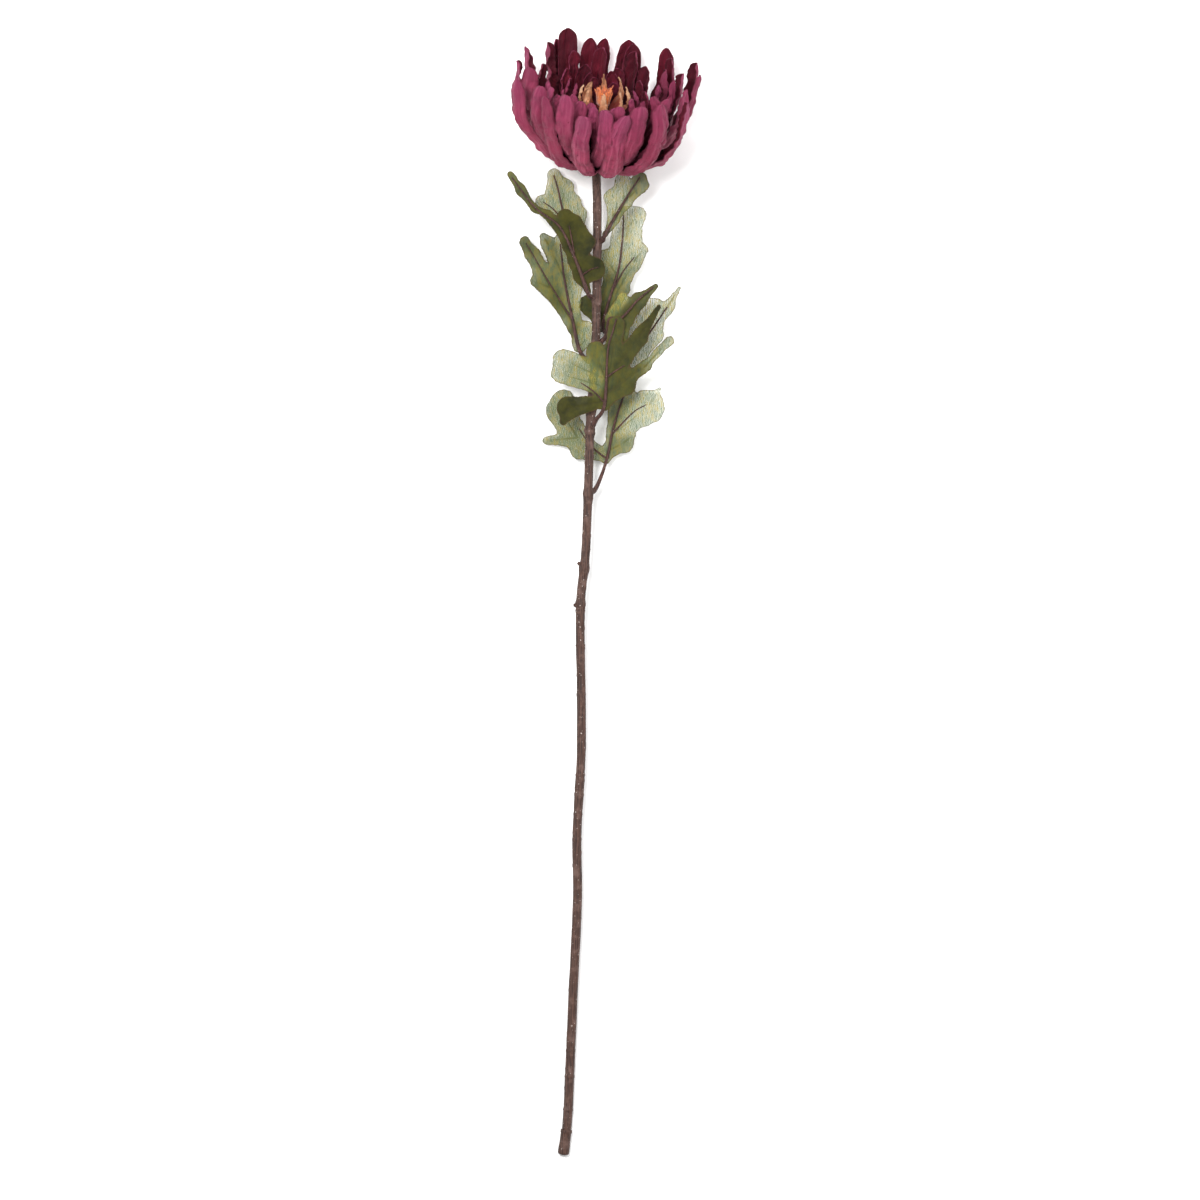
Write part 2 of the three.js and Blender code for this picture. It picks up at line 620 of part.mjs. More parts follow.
// Sets the origin on the table, under the middle of the piece.
spray.updateMatrixWorld(true);
const bounds = new THREE.Box3().setFromObject(spray, true);
const middle = bounds.getCenter(new THREE.Vector3());
spray.position.set(-middle.x, -middle.y, -bounds.min.z);

const chrysanthemum = new THREE.Group();
chrysanthemum.add(spray);
export default chrysanthemum;
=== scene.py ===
import bpy
import math
from mathutils import Matrix, Vector, noise


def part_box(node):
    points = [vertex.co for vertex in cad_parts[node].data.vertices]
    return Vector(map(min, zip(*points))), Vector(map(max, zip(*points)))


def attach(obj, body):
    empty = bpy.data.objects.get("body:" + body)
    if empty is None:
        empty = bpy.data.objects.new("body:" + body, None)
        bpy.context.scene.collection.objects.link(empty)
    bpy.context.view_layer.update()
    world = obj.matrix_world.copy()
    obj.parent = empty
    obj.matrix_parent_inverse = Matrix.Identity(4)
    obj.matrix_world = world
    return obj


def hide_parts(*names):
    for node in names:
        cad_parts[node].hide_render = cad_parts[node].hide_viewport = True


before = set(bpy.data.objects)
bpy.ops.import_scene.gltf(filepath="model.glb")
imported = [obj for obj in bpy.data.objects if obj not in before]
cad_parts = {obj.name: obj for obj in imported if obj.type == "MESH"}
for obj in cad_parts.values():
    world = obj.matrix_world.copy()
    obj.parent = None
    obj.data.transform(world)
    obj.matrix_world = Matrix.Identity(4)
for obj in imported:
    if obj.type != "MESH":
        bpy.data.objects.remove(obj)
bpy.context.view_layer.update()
mm = 0.001
print("frame loaded")

# The camera looks straight down on the stem as it lies, with the bloom at the top.
view = {"lens": 150, "sensor": 36, "across": 0.904, "aimX": -0.0024, "aimY": -0.003}
cameraData = bpy.data.cameras.new("overhead")
cameraData.lens = view["lens"]
cameraData.sensor_width = view["sensor"]
camera = bpy.data.objects.new("overhead", cameraData)
viewHeight = view["across"] * view["lens"] / view["sensor"]
camera.location = (view["aimX"], view["aimY"], viewHeight + 0.04)
bpy.context.collection.objects.link(camera)
bpy.context.scene.camera = camera
print("camera set")

# Sizes are in mm. y runs along the stem from its cut end, x across it, z up from the table.
bloom = {
    "place": (0.6, 752.7, 43.4),  # foot of the flower post
    "tiltUp": 26,  # degrees
    "lean": 6,
    "floorRound": 2.2,
    "postMiddle": 18.3,  # from the foot, along the post
}
bloomFrame = (
    Matrix.Translation(bloom["place"])
    @ Matrix.Rotation(-math.radians(bloom["lean"]), 4, "Z")
    @ Matrix.Rotation(math.radians(bloom["tiltUp"] - 90), 4, "X")
)

postLow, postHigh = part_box("flower_post")
postCentre = (Vector(postLow) + Vector(postHigh)) / 2 / mm
shift = postCentre - bloomFrame @ Vector((0, 0, bloom["postMiddle"]))


def toRow(point):
    return (Vector(point) + shift) * mm


def mix(a, b, share):
    return a + (b - a) * share


def clamp(value, low=0.0, high=1.0):
    return max(low, min(high, value))


def ease(value, low, high):
    share = clamp((value - low) / (high - low))
    return share * share * (3 - 2 * share)


def vary(seed):  # a repeatable number from -1 to 1
    value = math.sin(seed * 12.9898) * 43758.5453
    return 2 * (value - math.floor(value)) - 1


def pressed(z, lowest, softness):  # eased flat against the table
    over = max(z - lowest, -softness)
    return lowest + ((over + softness) ** 2 / (4 * softness) if over < softness else over)


def addPiece(name, points, faces, finishes, replaced, uvs=None, faceFinish=None,
             marks=None):
    mesh = bpy.data.meshes.new(name)
    mesh.from_pydata(points, [], faces)
    mesh.update()
    for finish in finishes:
        mesh.materials.append(finish)
    if faceFinish:
        mesh.polygons.foreach_set("material_index", faceFinish)
    mesh.polygons.foreach_set("use_smooth", [True] * len(mesh.polygons))
    if uvs:
        layer = mesh.uv_layers.new(name="lay")
        for loop in mesh.loops:
            layer.data[loop.index].uv = uvs[loop.vertex_index]
    for markName, values in (marks or {}).items():
        mesh.attributes.new(markName, "FLOAT", "POINT").data.foreach_set("value", values)
    piece = bpy.data.objects.new(name, mesh)
    bpy.context.collection.objects.link(piece)
    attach(piece, "root")
    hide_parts(*replaced)
    return piece


# Smooth route through points, as in the solid model.
class Route:
    def __init__(self, points, steps=24):
        points = [Vector(p) for p in points]
        ends = [points[0] * 2 - points[1], points[-1] * 2 - points[-2]]
        padded = [ends[0], *points, ends[1]]
        self.line = []
        for i in range(1, len(padded) - 2):
            a, b, c, d = padded[i - 1:i + 3]
            for k in range(steps):
                t = k / steps
                self.line.append(0.5 * (2 * b + (c - a) * t + (2 * a - 5 * b + 4 * c - d) * t * t
                                        + (3 * b - a - 3 * c + d) * t ** 3))
        self.line.append(points[-1])
        self.measure()

    def measure(self):
        self.at = [0.0]
        for a, b in zip(self.line, self.line[1:]):
            self.at.append(self.at[-1] + (b - a).length)
        self.length = self.at[-1]

    def point(self, share):
        goal = clamp(share) * self.length
        low, high = 0, len(self.at) - 1
        while high - low > 1:
            middle = (low + high) // 2
            if self.at[middle] <= goal:
                low = middle
            else:
                high = middle
        part = (goal - self.at[low]) / max(self.at[high] - self.at[low], 1e-9)
        return self.line[low].lerp(self.line[high], clamp(part))

    def tangent(self, share):
        return (self.point(share + 0.004) - self.point(share - 0.004)).normalized()


class PetalRoute(Route):  # a cubic curve from the hub to the petal's tip
    def __init__(self, a, b, c, d, steps=48):
        a, b, c, d = [Vector((p[0], 0, p[1])) for p in (a, b, c, d)]
        self.line = []
        for k in range(steps + 1):
            t = k / steps
            self.line.append(a * (1 - t) ** 3 + b * 3 * t * (1 - t) ** 2
                             + c * 3 * t * t * (1 - t) + d * t ** 3)
        self.measure()


def sweepRings(route, radiusAt, sides, rings, start=0.0, end=1.0):
    made = []
    for r in range(rings + 1):
        share = mix(start, end, r / rings)
        centre, along = route.point(share), route.tangent(share)
        side = along.cross(Vector((0, 0, 1))).normalized()
        over = side.cross(along)
        ring = []
        for s in range(sides):
            angle = 2 * math.pi * s / sides
            radius = radiusAt(share, angle)
            ring.append(centre + side * radius * math.cos(angle) + over * radius * math.sin(angle))
        made.append(ring)
    return made


def closeRings(rings, points, faces):  # skins the rings and closes both ends
    first, sides = len(points), len(rings[0])
    for ring in rings:
        points.extend(toRow(p) for p in ring)
    for r in range(len(rings) - 1):
        for s in range(sides):
            a, b = first + r * sides + s, first + r * sides + (s + 1) % sides
            faces.append((a, a + sides, b + sides, b))
    last = first + (len(rings) - 1) * sides
    faces.append(tuple(range(first, first + sides)))
    faces.append(tuple(reversed(range(last, last + sides))))


# Colours and finishes are made from shader nodes.
def colour(red, green, blue, alpha=1.0):  # from 8-bit screen values
    def straight(value):
        value /= 255
        return value / 12.92 if value <= 0.04045 else ((value + 0.055) / 1.055) ** 2.4
    return (straight(red), straight(green), straight(blue), alpha)


class Nodes:  # short names for building a node tree
    def __init__(self, tree):
        self.tree = tree

    def feed(self, socket, value):  # links a socket, or sets a fixed value
        if isinstance(value, bpy.types.NodeSocket):
            self.tree.links.new(value, socket)
        else:
            socket.default_value = value

    def add(self, kind, inputs=None, **settings):
        node = self.tree.nodes.new(kind)
        for key, value in settings.items():
            setattr(node, key, value)
        for key, value in (inputs or {}).items():
            self.feed(node.inputs[key], value)
        return node

    def math(self, operation, a, b=0.5, clamped=False):
        return self.add("ShaderNodeMath", {0: a, 1: b}, operation=operation,
                        use_clamp=clamped).outputs[0]

    def range(self, value, low, high, to=(0.0, 1.0)):
        return self.add("ShaderNodeMapRange", {"Value": value, "From Min": low, "From Max": high,
                                               "To Min": to[0], "To Max": to[1]}).outputs[0]

    def blend(self, factor, a, b, how="MIX"):
        node = self.add("ShaderNodeMix", data_type="RGBA", blend_type=how)
        self.feed(node.inputs[0], factor)
        self.feed(node.inputs[6], a)
        self.feed(node.inputs[7], b)
        return node.outputs[2]

    def noise(self, vector, scale, detail=3.0, rough=0.5):
        return self.add("ShaderNodeTexNoise", {"Vector": vector, "Scale": scale,
                                               "Detail": detail, "Roughness": rough}).outputs[0]

    def stretch(self, vector, scale):
        return self.add("ShaderNodeMapping", {"Vector": vector, "Scale": scale}).outputs[0]


def newGroup(name, inputs, outputs):
    group = bpy.data.node_groups.new(name, "ShaderNodeTree")
    for label, kind, value in inputs:
        socket = group.interface.new_socket(label, in_out="INPUT", socket_type=kind)
        if value is not None:
            socket.default_value = value
    for label, kind in outputs:
        group.interface.new_socket(label, in_out="OUTPUT", socket_type=kind)
    nodes = Nodes(group)
    return group, nodes, nodes.add("NodeGroupInput").outputs, nodes.add("NodeGroupOutput").inputs


def makeWeaveGroup():  # plain weave: threads one way and the other, in metres
    group, n, given, out = newGroup(
        "plainWeave",
        [("Vector", "NodeSocketVector", None), ("Threads", "NodeSocketFloat", 2400.0)],
        [("Height", "NodeSocketFloat")])
    waves = []
    for axis in ("X", "Y"):
        wave = n.add("ShaderNodeTexWave", {"Vector": given["Vector"], "Scale": given["Threads"],
                                           "Distortion": 1.2, "Detail": 1.0},
                     wave_type="BANDS", bands_direction=axis)
        waves.append(wave.outputs["Fac"])
    n.tree.links.new(n.math("MAXIMUM", waves[0], waves[1]), out["Height"])
    return group


def makeCreaseGroup():  # long soft folds and fine lengthwise lines along a petal
    group, n, given, out = newGroup(
        "petalCreases",
        [("Lay", "NodeSocketVector", None), ("Fold", "NodeSocketFloat", 5.0),
         ("Line", "NodeSocketFloat", 30.0)],
        [("Height", "NodeSocketFloat"), ("Folds", "NodeSocketFloat"),
         ("Lines", "NodeSocketFloat")])
    foldLay = n.add("ShaderNodeVectorMath", {0: n.stretch(given["Lay"], (1.0, 0.55, 1.0)),
                                             3: given["Fold"]}, operation="SCALE").outputs[0]
    lineLay = n.add("ShaderNodeVectorMath", {0: n.stretch(given["Lay"], (1.0, 0.08, 1.0)),
                                             3: given["Line"]}, operation="SCALE").outputs[0]
    folds = n.noise(foldLay, 1.0, 2.0)
    lines = n.noise(lineLay, 1.0, 2.0)
    total = n.math("ADD", n.math("MULTIPLY", folds, 0.8), n.math("MULTIPLY", lines, 0.2))
    n.tree.links.new(total, out["Height"])
    n.tree.links.new(folds, out["Folds"])
    n.tree.links.new(lines, out["Lines"])
    return group


def makePrintGroup():  # the fine wandering lines printed on the leaf cloth
    group, n, given, out = newGroup(
        "leafPrint",
        [("Vector", "NodeSocketVector", None), ("Scale", "NodeSocketFloat", 300.0)],
        [("Lines", "NodeSocketFloat"), ("Patch", "NodeSocketFloat")])
    long = n.stretch(given["Vector"], (1.0, 0.45, 1.0))
    wave = n.add("ShaderNodeTexWave", {"Vector": long, "Scale": given["Scale"],
                                       "Distortion": 9.0, "Detail": 2.0, "Detail Scale": 1.6})
    n.tree.links.new(wave.outputs["Fac"], out["Lines"])
    n.tree.links.new(n.noise(long, given["Scale"], 2.0), out["Patch"])
    return group


weave, creases, leafPrint = makeWeaveGroup(), makeCreaseGroup(), makePrintGroup()


def newFinish(name, settings):
    material = bpy.data.materials.new(name)
    material.use_nodes = True
    n = Nodes(material.node_tree)
    shader = material.node_tree.nodes["Principled BSDF"]
    for key, value in settings.items():
        shader.inputs[key].default_value = value
    return material, n, shader


def addGroup(n, group, inputs):
    node = n.tree.nodes.new("ShaderNodeGroup")
    node.node_tree = group
    for key, value in inputs.items():
        n.feed(node.inputs[key], value)
    return node.outputs


def addBump(n, shader, height, distance, strength=1.0):
    bump = n.add("ShaderNodeBump", {"Height": height, "Distance": distance, "Strength": strength})
    n.tree.links.new(bump.outputs[0], shader.inputs["Normal"])


# In each petal skin the darkest tone, laid over the lower part of inner petals, is painted shade
# between the petals.
# The pale tone laid along the fold ridges is a painted highlight.
# The tone at the petal edges is painted shade, darker where each cupped petal turns away from the
# light.
petalCloth = {
    "outer": {"body": (188, 72, 104), "low": (130, 40, 65), "light": (226, 112, 144),
              "tip": (152, 62, 103), "paintedShade": (40, 5, 15), "hem": (112, 36, 58), "sheen": 0.12},
    # The inner skin's tones are its own dark wine colour, made darker still as painted shade
    # between the petals.
    "inner": {"body": (112, 12, 33), "low": (52, 5, 15), "light": (146, 24, 50),
              "tip": (122, 30, 52), "paintedShade": (44, 5, 14), "hem": (84, 15, 32), "sheen": 0.05},
    "heart": {"body": (246, 200, 156), "low": (202, 116, 74), "light": (255, 228, 192),
              "tip": (250, 216, 176), "paintedShade": (112, 18, 20), "hem": (222, 142, 104),
              "sheen": 0.05},
}


def makePetalFinish(name, tones):
    material, n, shader = newFinish(name, {"Sheen Weight": tones["sheen"],
                                           "Sheen Roughness": 0.4,
                                           "Sheen Tint": colour(214, 110, 150),
                                           "Specular IOR Level": 0.25})
    tones = {key: colour(*value) for key, value in tones.items() if key != "sheen"}
    lay = n.add("ShaderNodeUVMap", uv_map="lay").outputs[0]
    shade = n.add("ShaderNodeAttribute", attribute_name="shade").outputs["Fac"]
    hem = n.add("ShaderNodeAttribute", attribute_name="hem").outputs["Fac"]
    paintedShade = n.add("ShaderNodeAttribute", attribute_name="paintedShade").outputs["Fac"]
    space = n.add("ShaderNodeTexCoord").outputs["Object"]
    fold = addGroup(n, creases, {"Lay": lay, "Fold": 6.0, "Line": 34.0})
    cloth = addGroup(n, weave, {"Vector": space})
    along = n.add("ShaderNodeSeparateXYZ", {0: lay}).outputs[1]
    blotch = n.noise(space, 70.0, 4.0, 0.6)
    body = n.blend(n.range(blotch, 0.34, 0.64), tones["low"], tones["body"])
    streaked = n.blend(n.range(fold["Lines"], 0.42, 0.6, (0.0, 0.6)), body, tones["low"])
    # Painted highlight: the pale tone laid along the fold ridges.
    ridgeHighlighted = n.blend(n.range(fold["Folds"], 0.5, 0.72, (0.0, 0.7)), streaked, tones["light"])
    tipped = n.blend(n.range(along, 0.6, 1.0, (0.0, 0.7)), ridgeHighlighted, tones["tip"])
    # Painted shade: the petal edges are darkened towards the edge tone.
    edgeShaded = n.blend(n.range(hem, 0.35, 1.0, (0.0, 0.75)), tipped, tones["hem"])
    dyed = n.blend(n.range(shade, 0.0, 1.0, (0.58, 0.0)), edgeShaded, tones["low"])
    # Painted shade: the lower part of inner petals is darkened towards the darkest tone, where
    # they sit deep between others.
    rootShaded = n.blend(n.range(paintedShade, 0.0, 1.0, (0.0, 0.94)), dyed, tones["paintedShade"])
    n.tree.links.new(rootShaded, shader.inputs["Base Color"])
    height = n.math("ADD", fold["Height"], n.math("MULTIPLY", cloth["Height"], 0.06))
    addBump(n, shader, height, 0.004, 1.0)
    n.tree.links.new(n.range(fold["Folds"], 0.3, 0.7, (0.7, 0.5)), shader.inputs["Roughness"])
    return material


leafCloth = {"pale": (142, 152, 82), "cool": (70, 100, 96), "warm": (176, 150, 70),
             "dark": (66, 64, 20), "darkDeep": (36, 38, 16), "edge": (76, 58, 38),
             "vein": (56, 52, 30), "lines": 330.0, "sheerAlpha": 0.6, "denseAlpha": 0.99}


def makeLeafFinish():
    tones = {key: colour(*value) for key, value in leafCloth.items() if isinstance(value, tuple)}
    material, n, shader = newFinish("leafCloth", {"Roughness": 0.6, "Specular IOR Level": 0.2})
    space = n.add("ShaderNodeTexCoord").outputs["Object"]
    cover = n.add("ShaderNodeAttribute", attribute_name="cover").outputs["Fac"]
    inside = n.add("ShaderNodeAttribute", attribute_name="inside").outputs["Fac"]
    vein = n.add("ShaderNodeAttribute", attribute_name="vein").outputs["Fac"]
    printed = addGroup(n, leafPrint, {"Vector": space, "Scale": leafCloth["lines"]})
    cloth = addGroup(n, weave, {"Vector": space, "Threads": 1900.0})
    tint = n.blend(n.range(printed["Patch"], 0.42, 0.6), tones["cool"], tones["warm"])
    pale = n.blend(n.range(printed["Lines"], 0.15, 0.85, (0.0, 0.75)), tones["pale"], tint)
    broad = n.noise(space, 75.0, 4.0, 0.6)
    dark = n.blend(n.range(broad, 0.36, 0.64), tones["darkDeep"], tones["dark"])
    both = n.blend(cover, pale, dark)
    veined = n.blend(n.range(vein, 1.0, 0.1, (0.0, 0.5)), both, tones["vein"])
    rimmed = n.blend(n.range(inside, 0.9, 0.1, (0.0, 0.7)), veined, tones["edge"])
    n.tree.links.new(rimmed, shader.inputs["Base Color"])
    sheer = n.range(cover, 0.0, 0.8, (leafCloth["sheerAlpha"], leafCloth["denseAlpha"]))
    threads = n.math("MULTIPLY", n.range(printed["Lines"], 0.0, 1.0, (-0.3, 0.3)),
                     n.math("SUBTRACT", 1.0, cover))
    solid = n.math("ADD", n.range(inside, 0.8, 0.0, (0.0, 0.4)),
                   n.range(vein, 1.0, 0.1, (0.0, 0.3)))
    n.tree.links.new(n.math("ADD", n.math("ADD", sheer, threads), solid, clamped=True),
                     shader.inputs["Alpha"])
    height = n.math("ADD", n.math("MULTIPLY", cloth["Height"], 0.15), broad)
    addBump(n, shader, height, 0.0016, 0.6)
    return material


barks = {
    "stemBark": {"light": (118, 94, 86), "body": (80, 56, 47), "dark": (46, 31, 26),
                 "flecks": 0.8},
    "stalkBark": {"light": (108, 76, 68), "body": (76, 49, 42), "dark": (44, 28, 25),
                  "flecks": 0.5},
    "calyxSkin": {"light": (96, 98, 62), "body": (74, 78, 44), "dark": (46, 50, 28),
                  "flecks": 0.0},
}
fleckTone = (205, 192, 184)


def makeBarkFinish(name):
    bark = barks[name]
    material, n, shader = newFinish(name, {"Specular IOR Level": 0.25})
    space = n.add("ShaderNodeTexCoord").outputs["Object"]
    streaks = n.noise(n.stretch(space, (1400.0, 50.0, 1400.0)), 1.0, 3.0)
    patches = n.noise(space, 150.0, 3.0, 0.6)
    specks = n.noise(space, 620.0, 2.0, 0.5)
    base = n.blend(n.range(streaks, 0.38, 0.62), colour(*bark["dark"]), colour(*bark["body"]))
    worn = n.blend(n.range(patches, 0.5, 0.7, (0.0, 0.5)), base, colour(*bark["light"]))
    scuffed = n.blend(n.range(specks, 0.7, 0.74, (0.0, bark["flecks"])), worn,
                      colour(*fleckTone))
    n.tree.links.new(scuffed, shader.inputs["Base Color"])
    addBump(n, shader, n.math("ADD", streaks, n.math("MULTIPLY", patches, 0.6)), 0.0009, 0.8)
    n.tree.links.new(n.range(patches, 0.3, 0.7, (0.5, 0.68)), shader.inputs["Roughness"])
    return material


tuftTones = {"foot": (120, 38, 14), "end": (222, 118, 50), "streak": (150, 62, 26)}


def makeTuftFinish():
    material, n, shader = newFinish("tuftFringe", {"Roughness": 0.8, "Sheen Weight": 0.3})
    space = n.add("ShaderNodeTexCoord").outputs["Object"]
    shade = n.add("ShaderNodeAttribute", attribute_name="shade").outputs["Fac"]
    strands = n.noise(space, 900.0, 2.0)
    base = n.blend(shade, colour(*tuftTones["foot"]), colour(*tuftTones["end"]))
    tone = n.blend(n.range(strands, 0.4, 0.62, (0.0, 0.5)), base, colour(*tuftTones["streak"]))
    n.tree.links.new(tone, shader.inputs["Base Color"])
    addBump(n, shader, strands, 0.0005, 0.6)
    return material


petalOuter = makePetalFinish("petalOuter", petalCloth["outer"])
petalInner = makePetalFinish("petalInner", petalCloth["inner"])
petalHeart = makePetalFinish("petalHeart", petalCloth["heart"])
leafFinish = makeLeafFinish()
stemFinish = makeBarkFinish("stemBark")
stalkFinish = makeBarkFinish("stalkBark")
calyxFinish = makeBarkFinish("calyxSkin")
tuftFinish = makeTuftFinish()
print("finishes made")

stem = {
    "radiusFoot": 3.4, "radiusNeck": 3.05, "sides": 20, "rings": 620,
    "swell": 1.0, "swellSpan": 3.6,  # where a leaf or a bare peg leaves it
    "plump": 0.22,  # the bark stands a little proud of the solid model
    "ring": 0.32, "ringSpan": 0.9, "groove": 0.15, "ridge": 0.1,
    "lump": 0.22, "knob": 0.3, "flute": 0.06,
    "route": [(-25, 3, 4.2), (-22, 31, 5.3), (-18, 121, 9.1), (-14.6, 196, 12.3),
              (-15, 242, 14.2), (-11.8, 302, 16.8), (-11.6, 345, 18.6), (-12.3, 415, 21.5),
              (-8.4, 456, 23.2), (-6.4, 505, 25.3), (-4.6, 560, 27.6), (-1.2, 605, 29.4),
              (0, 650, 31.3), (0.4, 705, 33.4), (0.2, 728, 34.3), (-0.3, 744, 39.1)],
    "mouldRings": [34, 59.5, 79, 240, 259, 274, 289, 387, 413, 470, 530],
    "ridges": (600, 652),  # stretch with close cross ridges
}
peg = {"radius": 1.9, "grain": 0.25, "length": 6.5}
stubTip = 1.2
stubs = [{"at": 446, "points": (-1, 0.75, 0.25), "length": 6.2},
         {"at": 417, "points": (-1, 0.1, 0.1), "length": 5.4}]
stemRoute = Route(stem["route"], 40)


def stemShare(distance):  # share of the stem's length at which it reaches a distance
    low, high = 0.0, 1.0
    while high - low > 1e-5:
        middle = (low + high) / 2
        if stemRoute.point(middle).y < distance:
            low = middle
        else:
            high = middle
    return low


# A lobe is root x, root y, tip x, tip y, half width at root, half width at tip, tip lift and
# how dense the cloth looks there, from 0 sheer to 1 solid.

